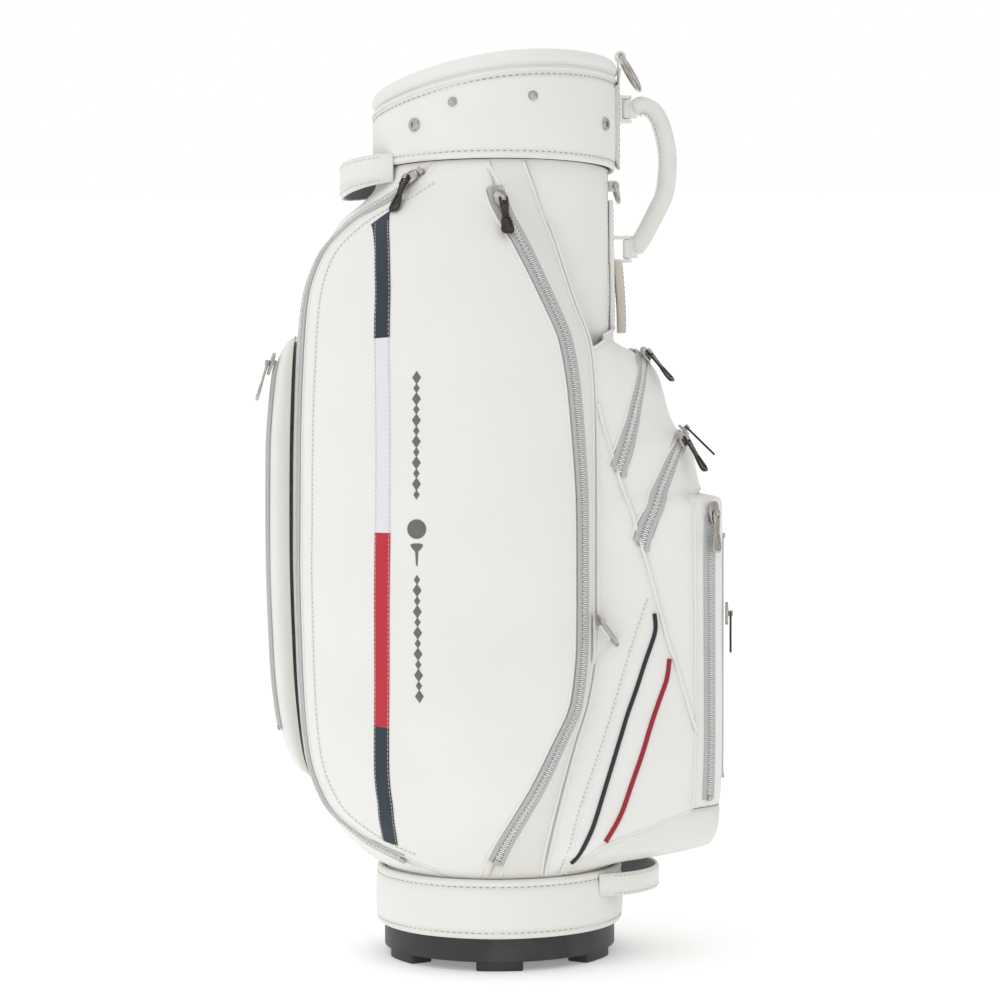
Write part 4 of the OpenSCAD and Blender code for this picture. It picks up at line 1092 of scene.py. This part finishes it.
# The dyed pipings are a smoother hide, so their colour stays even along the bend.
navy_leather = leather("navy_piping_leather", "#22262f", "#191c24", grain=1.0, sheen=0.42,
                       depth=0.05)
red_leather = leather("red_piping_leather", "#a3182a", "#821424", grain=1.0, sheen=0.42,
                      depth=0.05)
for name, line, low, high, move, size in (
        ("welt_outer", welt, 0.004, 0.995, -2.2, 1.5), ("welt_inner", welt, 0.004, 0.995, 2.2, 1.5),
        ("left_zip_outer", left_zip, 0.01, 0.992, -9.6, 1.4),
        ("left_zip_inner", left_zip, 0.01, 0.992, 9.6, 1.4),
        ("right_zip_outer", right_zip, 0.004, 0.955, -9.6, 1.4),
        ("right_zip_inner", right_zip, 0.004, 0.955, 9.6, 1.4),
        ("upper_zip_outer", upper_line, 0.575, 0.735, -9.8, 1.5),
        ("upper_zip_inner", upper_line, 0.575, 0.735, 9.8, 1.5),
        ("middle_zip_outer", middle_line, 0.472, 0.617, -9.8, 1.5),
        ("middle_zip_inner", middle_line, 0.472, 0.617, 9.8, 1.5),
        ("front_edge", lambda h: FRONT_EDGE, 0.089, 0.526, 0, 1.7),
        ("crossing", crossing, 0.2, 0.66, 0, 1.9), ("lower_edge", lower_line, 0.002, 0.087, 0, 1.6)):
    route = laid_on(line_points(line, low, high, 90, move), 0.2)
    piped(name + "_piping", eased_route(route, 24 if "middle" in name else 4), size, smooth_leather,
          lift=1.0 if name == "crossing" else 0.0)
piped("top_edge_piping", eased_route(laid(line_points(top_line, 0.736, 0.775, 50), 0.2)), 1.7,
      smooth_leather)
for name, points in (
        ("yoke_seam", [(0.995, -3.4), (0.934, 6.7), (0.885, 13.8), (0.836, 19), (0.8, 22.3)]),
        ("flank_seam", [(0.388, 53.4), (0.33, 49.2), (0.25, 44), (0.17, 38.5), (0.09, 33.6),
                        (0.002, 30.2)]),
        ("panel_seam", line_points(left_zip, 0.03, 0.97, 60, 27))):
    creased(name, eased_route(laid_on(points, 0.3), 4))
for name, points, size, cloth in (
        ("navy", [(0.367, 54.5), (0.346, 55.1), (0.325, 53.6), (0.298, 51.5), (0.263, 49.1),
                  (0.229, 46.3), (0.188, 43.6), (0.146, 41.3), (0.105, 39.2), (0.07, 37.5),
                  (0.041, 35), (0.02, 33.5)], 2.1, navy_leather),
        ("red", [(0.303, 58.7), (0.276, 58), (0.248, 55.6), (0.207, 52.5), (0.166, 50),
                 (0.132, 47.8), (0.097, 45.9), (0.076, 44.3), (0.051, 41.7)], 2.3, red_leather)):
    piped(name + "_inset_piping", eased_route(laid_on(points, 0.5), 4), size, cloth)
seam_bearing = math.radians(79)
seam_out = Vector((math.sin(seam_bearing), -math.cos(seam_bearing), 0))
creased("tube_cover_seam", [((seam_out * cover_r + Vector((0, 0, z))) * mm, seam_out)
                            for z in range(600, 762, 6)])

# Colour tape: grosgrain ribbon in blocks of navy, white, red and navy, sewn on with its edges
# turned under.
ribs = {}
for name, face, fold_tone in (("navy", "#29313f", "#212939"), ("white", "#edecf0", "#dcdbdf"),
                              ("red", "#c8263a", "#ab2031")):
    ribs[name] = woven(name + "_grosgrain", face, fold_tone, pitch=1.5, relief=0.3, rough=0.6,
                       sheen=0.04)
tape_ends = (0.049, 0.218, 0.484, 0.749, 0.926)
tape_cells, tape_cell = 8, 2
for name, low, high in zip(("navy", "red", "white", "navy"), tape_ends, tape_ends[1:]):
    frames = laid_frames(laid(line_points(tape_line, low, high, 40)))
    slant = 14 if high == tape_ends[-1] else 0

    def ribbon_point(i, j):
        """One point of the ribbon, whose top end is cut on a slant and whose edges are thinner."""
        p, side, out = frames[j]
        lowered = slant * (1 - i / tape_cells) * (j / (len(frames) - 1)) ** 12
        across = (i - tape_cells / 2) * tape_cell
        return settled(p + side * (across * mm) - Vector((0, 0, lowered * mm)), out,
                       0.63 if i in (0, tape_cells) else 0.75)
    made = spread(f"colour_tape_{name}_{low}", tape_cells, len(frames) - 1, ribbon_point)
    thickened(made, 1.6, ribs[name], "bag", ["colour_tape"])
tape_points = line_points(tape_line, tape_ends[0], tape_ends[-1] - 0.012, 80)
for shift in (-6.8, 6.8):
    stitches(f"tape_stitches_{shift}", laid_on(tape_points, 0.7, 5.0, shift), gap_mm=4.2)

# Embroidered motif: a column of small satin-stitched diamonds with a ball on a tee in its
# middle. It is a plain ornament and stands for no mark.
embroidery = woven("grey_satin_stitch", "#6f6f6d", "#5c5c5a", pitch=0.7, relief=0.2, rough=0.5)
MOTIF_LINE = -23.5


def sewn_form(name, h, outline, lift=0.1, thick=0.9):
    """A flat satin-stitched form of (across, up) millimetres, laid on the near panel."""
    out = outward(MOTIF_LINE, h)
    centre = settled(spot(MOTIF_LINE, h), out, lift)
    up = (Vector((0, 0, 1)) - out * out.z).normalized()
    side = up.cross(out)
    count = len(outline)
    points = [(x, y, -thick) for x, y in outline] + [(x, y, 0.12) for x, y in outline]
    points += [(x * 0.62, y * 0.62, 0.5) for x, y in outline]
    faces = [(k, (k + 1) % count, count + (k + 1) % count, count + k) for k in range(count)]
    faces += [(count + k, count + (k + 1) % count, 2 * count + (k + 1) % count, 2 * count + k)
              for k in range(count)]
    faces += [tuple(range(2 * count, 3 * count)), tuple(range(count - 1, -1, -1))]
    made = row_of(name, [(centre, side, up, out)], points, faces)
    finished(made, embroidery, "bag")


ball_at, motif_low, diamond_step = 0.475, 0.262, 0.0144
for k in range(31):
    h = motif_low + k * diamond_step
    if abs(h - ball_at) < 0.05:
        continue
    tall, wide = (4.6, 3.0) if k % 2 else (6.2, 4.2)
    sewn_form(f"motif_diamond_{k}", h, [(0, -tall), (wide, 0), (0, tall), (-wide, 0)])
sewn_form("motif_ball", ball_at + 0.014, round_section(9, 20))
sewn_form("motif_tee", ball_at - 0.019, [(-6, 8), (-5, 5.4), (-1.5, 2), (-0.9, -10), (0, -12),
                                         (0.9, -10), (1.5, 2), (5, 5.4), (6, 8), (3, 9.2),
                                         (-3, 9.2)])

# Zips: woven polyester tape, folded back on itself beside the teeth, with silvered teeth that mesh,
# and a metal stop at each open end. The teeth are coarser than real ones, and their silver is
# painted as a near-white, barely metallic colour, so that they read as a bright toothed line on
# the matt tape. A dark strip of painted shade runs down the middle, between the tapes.
tape_grey = woven("grey_zip_tape", "#c0c2c2", "#afb1b1", pitch=1.3, relief=0.2, rough=0.65,
                  sheen=0.08)
# Painted reflection: the teeth's silver is given as a near-white colour with little metal in it.
teeth = polished("silvered_zip_teeth", "#f6f6f4", "#e9e8e5", rough=0.36, metallic=0.15)
# Painted shade: a dark grey strip laid between the tapes, under the teeth.
zip_shade_strip = moulded("shaded_zip_seam", "#adadab", "#9c9c9a", grain=0.8)
tape_up, tooth_step = 0.9, 2.0
tooth = [(x * 0.62, y * 2.6 + 0.5, z) for z, x, y in (
    [(-0.5, sx, sy) for sx, sy in ((-1, -1), (1, -1), (1, 1), (-1, 1))]
    + [(0.75, sx * 0.8, sy * 0.9) for sx, sy in ((-1, -1), (1, -1), (1, 1), (-1, 1))])]
tooth_faces = [(3, 2, 1, 0), (4, 5, 6, 7), (0, 1, 5, 4), (1, 2, 6, 5), (2, 3, 7, 6), (3, 0, 4, 7)]


def zip_fastener(name, points, both, stands_for, half=8.6, face=skin, rounds=2, cut=0, bare=0):
    """A closed zip along points of (height share, bearing): its tapes, teeth, a strip of painted shade
    down its middle, and stops.
    The lower end is cut on a slant by some steps, and the upper end may be bare of teeth."""
    whole = eased_route(laid(points, tape_up, face, 4.0), rounds)
    route = whole[cut:len(whole) - bare]
    parts = []
    for side in (-1, 1):
        near_edge, far_edge = sorted((side * 3.1, side * half))
        parts.append((f"{name}_tape_{'left' if side < 0 else 'right'}", swept(
            name, laid_frames(whole[cut * (1 - side):]),
            rounded([(near_edge, -1.0), (far_edge, -1.0), (far_edge, 0.5), (near_edge, 0.8)],
                    0.3, 2)), tape_grey))
        parts.append((f"{name}_cord_{side}", swept(
            name, laid_frames(route, side * 3.8, 0.6), round_section(0.6, 6)), tape_grey))
    # The dark middle strip is painted shade between the tapes.
    parts.append((f"{name}_seam", swept(name, laid_frames(whole[cut:], 0, -0.4),
                                        [(-3.3, -0.5), (3.3, -0.5), (3.3, 0.4), (-3.3, 0.4)]),
                  zip_shade_strip))
    frames = evenly([(p + n * (0.9 * mm), n) for p, n in route], tooth_step)
    rows = [(p, x, y * (1 if k % 2 else -1), z) for k, (p, x, y, z) in enumerate(frames)]
    parts.append((f"{name}_teeth", row_of(name, rows, tooth, tooth_faces), teeth))
    stops = [] if cut else [frames[0]]
    if not bare:
        stops.append(frames[-1])
    stop_form = [(x * 2.4, y * 3.1, z) for z in (-0.6, 1.5) for x, y in (
        (-1, -1), (1, -1), (1, 1), (-1, 1))]
    if stops:
        parts.append((f"{name}_stops", row_of(name, stops, stop_form, tooth_faces), nickel))
    for title, piece, cloth in parts:
        piece.name = piece.data.name = title
        if both:
            mirrored(piece)
        finished(piece, cloth, "bag", stands_for)


zip_fastener("zip_left", line_points(left_zip, 0.024, 0.985, 100), True,
             ["zip_near_left", "zips_far"], half=7.6)
zip_fastener("zip_right", line_points(right_zip, 0.024, 0.96, 100), True,
             ["zip_near_right", "zips_far"], half=7.6, bare=4)
zip_fastener("zip_upper", line_points(upper_line, 0.558, 0.7365, 60), True, ["zip_upper"], rounds=12,
             cut=2)
zip_fastener("zip_middle", line_points(middle_line, 0.455, 0.619, 60), True, ["zip_middle"],
             rounds=30, cut=2)
zip_fastener("zip_ball_near", [(h / 40, 72) for h in range(4, 21)], False, ["zips_ball"])
zip_fastener("zip_ball_front", [(h / 40, 84) for h in range(5, 20)], False, ["zips_ball"])
zip_fastener("zip_spine", [(h / 40, -81) for h in range(8, 30)], False, ["zip_spine"], half=6.5,
             face=pocket_face)

# Sliders and pullers: cast zinc, nickel plated. The slider is drop-shaped with a bridge, and
# the puller hangs on it by two cheeks and a pin, with a neck, a waist and a flared plate whose
# recess is plain.
teeth_high, slider_gap, slider_t = 1.9, 1.2, 2.6
slider_low = tape_up + teeth_high + slider_gap
pin_up = slider_low + slider_t + 2.4
# Where each slider is parked, and a place further on along its zip: height share and bearing.
PARK = [("near_left", (0.972, -41.5), (0.94, -55.5)), ("near_right", (0.935, 2.6), (0.9, 7)),
        ("spine", (0.72, -81), (0.66, -81)), ("upper", (0.727, 74.2), (0.7, 65.4)),
        ("middle_a", (0.605, 71.3), (0.58, 65)), ("middle_b", (0.6185, 84), (0.617, 79)),
        ("ball", (0.506, 72), (0.4, 72)), ("front", (0.36, 84), (0.3, 84))]


def plate(outline, low, high, dish=None):
    """A flat form with softened edges. dish is an inner outline, sunk into its upper face."""
    count = len(outline)
    middle = Vector((sum(p[0] for p in outline) / count, sum(p[1] for p in outline) / count))

    def inset(d):
        made = []
        for x, y in outline:
            v = Vector((x, y)) - middle
            made.append(middle + v * max(0.1, 1 - d / v.length))
        return made
    soft = 0.45
    layers = [(inset(soft), low), (inset(0), low + soft), (inset(0), high - soft), (inset(soft), high)]
    if dish:
        layers += [([Vector(p) for p in dish], high), ([Vector(p) * 0.9 + middle * 0.1 for p in dish],
                                                        high - 0.7)]
    points = [(p.x, p.y, z) for ring, z in layers for p in ring]
    faces = [tuple(range(count - 1, -1, -1))]
    for k in range(len(layers) - 1):
        faces += [(k * count + i, k * count + (i + 1) % count, (k + 1) * count + (i + 1) % count,
                   (k + 1) * count + i) for i in range(count)]
    faces.append(tuple(range((len(layers) - 1) * count, len(layers) * count)))
    return points, faces


def round_form(r, low, high, count=14):
    """A short rod across the puller."""
    points = [(r * math.cos(math.tau * k / count), end, r * math.sin(math.tau * k / count))
              for end in (low, high) for k in range(count)]
    faces = [(k, (k + 1) % count, count + (k + 1) % count, count + k) for k in range(count)]
    return points, faces + [tuple(range(count - 1, -1, -1)), tuple(range(count, 2 * count))]


def moved(form, by):
    """The form, moved by some millimetres."""
    return [(p[0] + by[0], p[1] + by[1], p[2] + by[2]) for p in form[0]], form[1]


def outline_of(half):
    """A closed outline from one half: (x, half width) from end to end."""
    return [(x, w) for x, w in half] + [(x, -w) for x, w in reversed(half)]


slider_half = [(-11, 2.2), (-10, 4.2), (-7, 6.2), (-3, 7.0), (2, 6.2), (6, 4.6), (9.5, 3.4), (11, 2.0)]
shield = plate(outline_of(slider_half), slider_low, slider_low + slider_t)
waist_half = [(4.5, 2.1), (7, 3.1), (11, 3.6), (15, 3.2), (19, 3.4), (24, 5.0), (30, 6.0),
              (34, 6.25), (36.6, 5.4), (38, 3.4)]
dish_half = [(21, 1.6), (22, 1.9), (24, 2.3), (26, 2.6), (28, 3.0), (30, 3.3), (32, 3.5),
             (33.6, 3.5), (34.6, 3.2), (35.2, 2.4)]
arm = plate(outline_of(waist_half), -1.0, 1.0, outline_of(dish_half))


def cast(part, body, forms, frames, material, flip):
    """A slider or puller of several forms, cast as one piece on its own body."""
    made = set_in(f"{part}_{body}_cast", forms, frames)
    if flip:
        flipped(made)
    finished(made, material, f"{part}_{body}", [f"{part}_{body}"], 50)


bridge = plate(outline_of([(-2.7, 1.4), (-2, 2.0), (2, 2.0), (2.7, 1.4)]),
               slider_low + slider_t - 1, pin_up + 2.4)
cheeks = [moved(plate(outline_of([(-1.9, 0.5), (-1.4, 0.95), (7, 0.95), (9, 0.6)]), -1.0, 1.0),
                (0, s * 3.3, 0)) for s in (-1, 1)]
pin = round_form(1.0, -4.3, 4.3)
for name, parked, onwards in PARK:
    face = pocket_face if name == "spine" else skin
    home, out = spot(parked[1], parked[0], 0, face), outward(parked[1], parked[0], face)
    way = spot(onwards[1], onwards[0], 0, face) - home
    way = (way - out * way.dot(out)).normalized()
    down = Vector((0, 0, -1))
    down = (down - out * down.dot(out)).normalized()
    lying = (home, way, out.cross(way), out)
    hanging = (home, down, out.cross(down), out)
    at_pin = (home + out * (pin_up * mm), down, out.cross(down), out)
    metal = nickel if name in ("ball", "spine") else black_nickel
    bodies = [(name, False)]
    if name in ("near_left", "near_right"):
        bodies.append((name.replace("near", "far"), True))
    for body, flip in bodies:
        cast("slider", body, [shield, bridge], [lying, hanging], nickel, flip)
        cast("puller", body, [arm, *cheeks, pin], [at_pin] * 4, metal, flip)

# Grab handle: a leather tube on a soft core. Its seam runs round the outer bend, where both
# layers are stitched flat, and its ends are wrapped round the pins.
grab_pin_x = (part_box("handle_anchors")[1].x / mm) - 5
grab_reach, grab_span, grab_d = 49, 136, 17
grab_mid = collar_low + 60.5 - grab_span / 2
GRAB = [(0.05, 0.5), (0.14, 0.51), (0.3, 0.535), (0.6, 0.5), (0.8, 0.42), (0.93, 0.3), (1, 0.18),
        (0.99, 0.04), (0.91, -0.11), (0.67, -0.25), (0.4, -0.39), (0.2, -0.475), (0.05, -0.5)]


def bend(points, t):
    """A smooth curve through points."""
    i = min(int(t), len(points) - 2)
    s = t - i
    p0, p1, p2, p3 = (points[max(0, min(len(points) - 1, i + k))] for k in (-1, 0, 1, 2))
    return p1 + (p2 - p0 + (p0 * 2 - p1 * 5 + p2 * 4 - p3 + ((p1 - p2) * 3 + p3 - p0) * s) * s) * (
        0.5 * s)


grab_points = [Vector((grab_pin_x + 3.5 + x * (grab_reach - 3.5 - grab_d / 2), 0,
                       grab_mid + y * grab_span)) * mm for x, y in GRAB]
grab_route = []
for k in range(73):
    t = (len(grab_points) - 1) * k / 72
    way = (bend(grab_points, min(len(grab_points) - 1, t + 0.05))
           - bend(grab_points, max(0, t - 0.05))).normalized()
    grab_route.append((bend(grab_points, t), way.cross(Vector((0, 1, 0))), k / 72))
handle_frames = []
for p, out, s in grab_route:
    end = min(s, 1 - s)
    fat = min(1.0, 0.52 + end * 7) * (1 - 0.04 * math.sin(math.tau * s))
    handle_frames.append((p, Vector((0, 1, 0)) * fat, -out * fat))
grip = swept("grab_handle_grip", handle_frames, round_section(8.1, 20))
for v in grip.data.vertices:
    v.co += Vector((0, v.co.y, 0)).normalized() * 0.3 * mm * noise.noise(v.co * 90)
shaded_by(grip, lambda p: 0.25 + 0.5 * abs(noise.noise(p * 45)))
finished(grip, smooth_leather, "grab_handle", ["grab_handle"])
flange_route = [(p - out * (8.0 * mm), -out) for p, out, s in grab_route if 0.07 < s < 0.93]
flange = swept("grab_handle_seam", [(p, Vector((0, 1, 0)), out) for p, out in flange_route],
               rounded([(-1.7, -2), (1.7, -2), (1.5, 2.0), (-1.5, 2.0)], 0.6, 2))
finished(flange, smooth_leather, "grab_handle", ["grab_handle"])
for side in (-1, 1):
    stitches(f"grab_stitches_{side}", [(p + Vector((0, side * 1.8, 0)) * mm, Vector((0, side, 0)))
                                       for p, out in flange_route], "grab_handle", 4.6)
for side in (-1, 1):
    z = grab_mid + side * grab_span / 2
    wrap = turned(f"grab_loop_{side}", rounded([(2.6, -8.8), (4.4, -8.8), (4.4, 8.8), (2.6, 8.8)],
                                              0.7, 2), around=36, middle=(grab_pin_x, 0))
    wrap.data.transform(Matrix.Translation((0, 0, z * mm)))
    finished(wrap, smooth_leather, "grab_handle", ["grab_handle"])
    root = swept(f"grab_root_{side}", [(Vector((grab_pin_x + x, 0, z)) * mm, Vector((0, 1, 0)),
                                        Vector((0, 0, 1))) for x in (2.9, 5, 7.5, 10)],
                 rounded([(-4.2, -8.6), (4.2, -8.6), (4.2, 8.6), (-4.2, 8.6)], 2.2, 3))
    finished(root, smooth_leather, "grab_handle", ["grab_handle"])

# Backplate: a thick strap down the collar, cut round at its upper end and tapered at its lower
# one, with two rows of stitches.
plate_low, plate_high = (c.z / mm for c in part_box("handle_backplate"))
plate_r = collar_r + 0.4


def strap_half(z):
    """Half the strap's width at a height."""
    s = (z - plate_low) / (plate_high - plate_low)
    low_end = math.sqrt(max(0, 1 - max(0, 1 - s / 0.14) ** 2))
    high_end = math.sqrt(max(0, 1 - max(0, (s - 0.93) / 0.07) ** 2))
    return 20.5 * max(0.12, min(0.62 + 0.38 * low_end if s > 0.14 else low_end, high_end))


def strap_point(i, j):
    """One point of the strap's face, which rolls back at its edges."""
    z = plate_low + (plate_high - plate_low) * j / 40
    u = 2 * i / 24 - 1
    y = strap_half(z) * u
    return Vector((math.sqrt((plate_r + 3.2) ** 2 - y ** 2) - 0.9 * abs(u) ** 6, y, z)) * mm


def beside_strap(z, side):
    """A stitch's place and direction, 3.4 mm in from the strap's edge."""
    y = side * (strap_half(z) - 3.4)
    return (Vector((math.sqrt((plate_r + 3.1) ** 2 - y ** 2), y, z)) * mm,
            Vector((1, y / plate_r, 0)).normalized())


backplate = spread("handle_backplate_strap", 24, 40, strap_point)
# Painted shade towards the strap's edges, where they roll back.
shaded_by(backplate, lambda p: math.exp(-(strap_half(p.z / mm) - abs(p.y / mm)) / 2.5))
thickened(backplate, 3, smooth_leather, "bag", ["handle_backplate"], rounding=0.5)
for side in (-1, 1):
    stitches(f"backplate_stitches_{side}", [
        beside_strap(z, side) for z in range(int(plate_low) + 10, int(plate_high) - 4, 3)])
tongue = swept("backplate_tongue", [(Vector((plate_r + 2 + x, 0, plate_high - 6 + z)) * mm,
                                     Vector((0, 1, 0)), Vector((1, 0, 0)))
                                    for x, z in ((0, 0), (0.4, 8), (1.2, 16), (1.6, 20))],
               rounded([(-8, -0.9), (8, -0.9), (8, 0.9), (-8, 0.9)], 0.6, 2))
finished(tongue, smooth_leather, "bag")


# Lifting loops: leather outside, a woven lining inside, turned edges and two rows of stitches.
grey_lining = woven("grey_loop_lining", "#6f7073", "#5d5e61", pitch=1.6)


def facing(piece, near, way):
    """Turns a sheet over if its face nearest to a point doesn't look the given way."""
    middle = min(piece.data.polygons, key=lambda f: (f.center - near).length)
    if middle.normal.dot(way) < 0:
        piece.data.flip_normals()


def lifting_loop(name, node, wall_r, reach, half_wide, low, high, way, sag):
    """A loop that stands out from the wall by its reach, and sags below its ends."""
    out_x = cover_r + reach
    foot_x = math.sqrt(wall_r ** 2 - half_wide ** 2)
    r = ((out_x - foot_x) ** 2 + half_wide ** 2) / (2 * (out_x - foot_x))
    spread_angle = math.asin(half_wide / r) if foot_x > out_x - r else math.pi - math.asin(
        half_wide / r)
    count = 60
    tall = high - low

    def place(i, j, depth=0.0, inset=0.0):
        t = (2 * i / count - 1) * spread_angle
        u = 2 * j / 10 - 1
        drop = sag * (math.cos(t) ** 2) * (0.6 + 0.4 * (1 - u))
        roll_in = 1.2 * abs(u) ** 4
        rr = r - roll_in - depth
        z = (low + high) / 2 + u * (tall / 2 - inset) - drop
        x = out_x - r + rr * math.cos(t)
        return Vector((way * x, rr * math.sin(t), z)) * mm
    outside = Vector((way, 0, 0))
    outer = spread(name + "_leather", count, 10, place)
    facing(outer, place(count // 2, 5), outside)
    # Painted shade along the loop's turned top and bottom edges.
    shaded_by(outer, lambda p: math.exp(-min(abs(p.z / mm - low), abs(p.z / mm - high)) / 3))
    thickened(outer, 2.6, smooth_leather, "bag", [node], rounding=0.5)
    inner = spread(name + "_lining", count, 10, lambda i, j: place(i, j, 2.5, 1.2))
    facing(inner, place(count // 2, 5), outside)
    thickened(inner, 1.9, grey_lining, "bag", [node], rounding=0.3)
    for u in (-0.74, 0.74):
        route = []
        for i in range(4, count - 3):
            p = place(i, 5 + 5 * u, -0.1)
            t = (2 * i / count - 1) * spread_angle
            route.append((p, Vector((way * math.cos(t), math.sin(t), 0))))
        stitches(f"{name}_stitches_{u}", route, gap_mm=5.2)


spine_low, spine_high = (c.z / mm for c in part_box("spine_handle"))
base_loop_low, base_loop_high = (c.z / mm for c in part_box("base_handle"))
lifting_loop("spine_loop", "spine_handle", collar_r + gap, 41, 69, spine_low, spine_high, -1, 7)
lifting_loop("base_loop", "base_handle", cuff_out + gap, 46, 75, base_loop_low, base_loop_high, 1,
             0.0)

# Every other CAD piece that shows takes its own finish.
for node, material in (("handle_anchors", smooth_leather), ("ring_tabs", smooth_leather),
                       ("towel_ring", nickel), ("strap_ring_upper", nickel),
                       ("strap_ring_lower", nickel)):
    alone(dressed(node, material))
    bpy.ops.object.shade_smooth_by_angle(angle=math.radians(40))

# Shoulder strap ends: a white strap lies flat down the tube below the upper ring, and a folded
# beige one is sewn over it below the grab handle. Both run down to the pockets' top seam.
beige = leather("beige_anchor_leather", "#d2ccc0", "#bfb7a9", grain=1.3, depth=0.08)


def hanging_strap(name, points, wide, thick, material):
    """A flat strap down the front of the tube, through points of (x, z)."""
    route = [bend([Vector((x, 0, z)) * mm for x, z in points], (len(points) - 1) * k / 24)
             for k in range(25)]
    frames = []
    for k, p in enumerate(route):
        way = (route[min(k + 1, 24)] - route[max(k - 1, 0)]).normalized()
        frames.append((p, Vector((0, 1, 0)), way.cross(Vector((0, 1, 0)))))
    made = swept(name, frames, rounded([(-wide / 2, -thick / 2), (wide / 2, -thick / 2),
                                        (wide / 2, thick / 2), (-wide / 2, thick / 2)],
                                       thick * 0.42, 3))
    finished(made, material, "bag")
    for side in (-1, 1):
        stitches(f"{name}_stitches_{side}", [
            (p + Vector((0, side * (wide / 2 - 2.6), 0)) * mm + Vector((thick / 2, 0, 0)) * mm,
             Vector((1, 0, 0))) for p in route[2:-2]], gap_mm=4.6)


strap_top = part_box("strap_ring_upper")[0].z / mm - 3
hanging_strap("strap_root", [(112.4, strap_top + 6), (112.8, strap_top - 40),
                             (113.4, strap_top - 84), (112.6, strap_top - 121)], 24, 4.6,
              smooth_leather)
hanging_strap("strap_end", [(119, strap_top - 54), (120.6, strap_top - 74),
                            (122, strap_top - 98), (122.4, strap_top - 122)], 21, 8.4, beige)


# Lower ring's tab: a folded triangle of leather sewn on the flank, with a band above it.
seat_h = 0.345
seat_a = welt(seat_h) + 3.2


def tab_place(x, y, up):
    """A point x millimetres across and y down from the lower ring's seat, on the leather."""
    h = seat_h - y / pocket_run
    a = seat_a + math.degrees(x / skin(seat_a, h))
    return settled(spot(a, h), outward(a, h), up)


tab = spread("ring_tab_triangle", 12, 12, lambda i, j: tab_place(
    -15 + 26 * (i / 12) * (1 - abs(2 * j / 12 - 1)), -16 + 46 * j / 12, 1.6))
thickened(tab, 2.4, smooth_leather, "bag", rounding=0.4)
for low, high in ((-12, 6.2), (26, 7.8)):
    edge = [(tab_place(-13.5 + 21 * k / 16, low + (high - low) * k / 16, 1.8),
             outward(seat_a, seat_h)) for k in range(17)]
    stitches(f"ring_tab_stitches_{low}", edge, gap_mm=4.0)
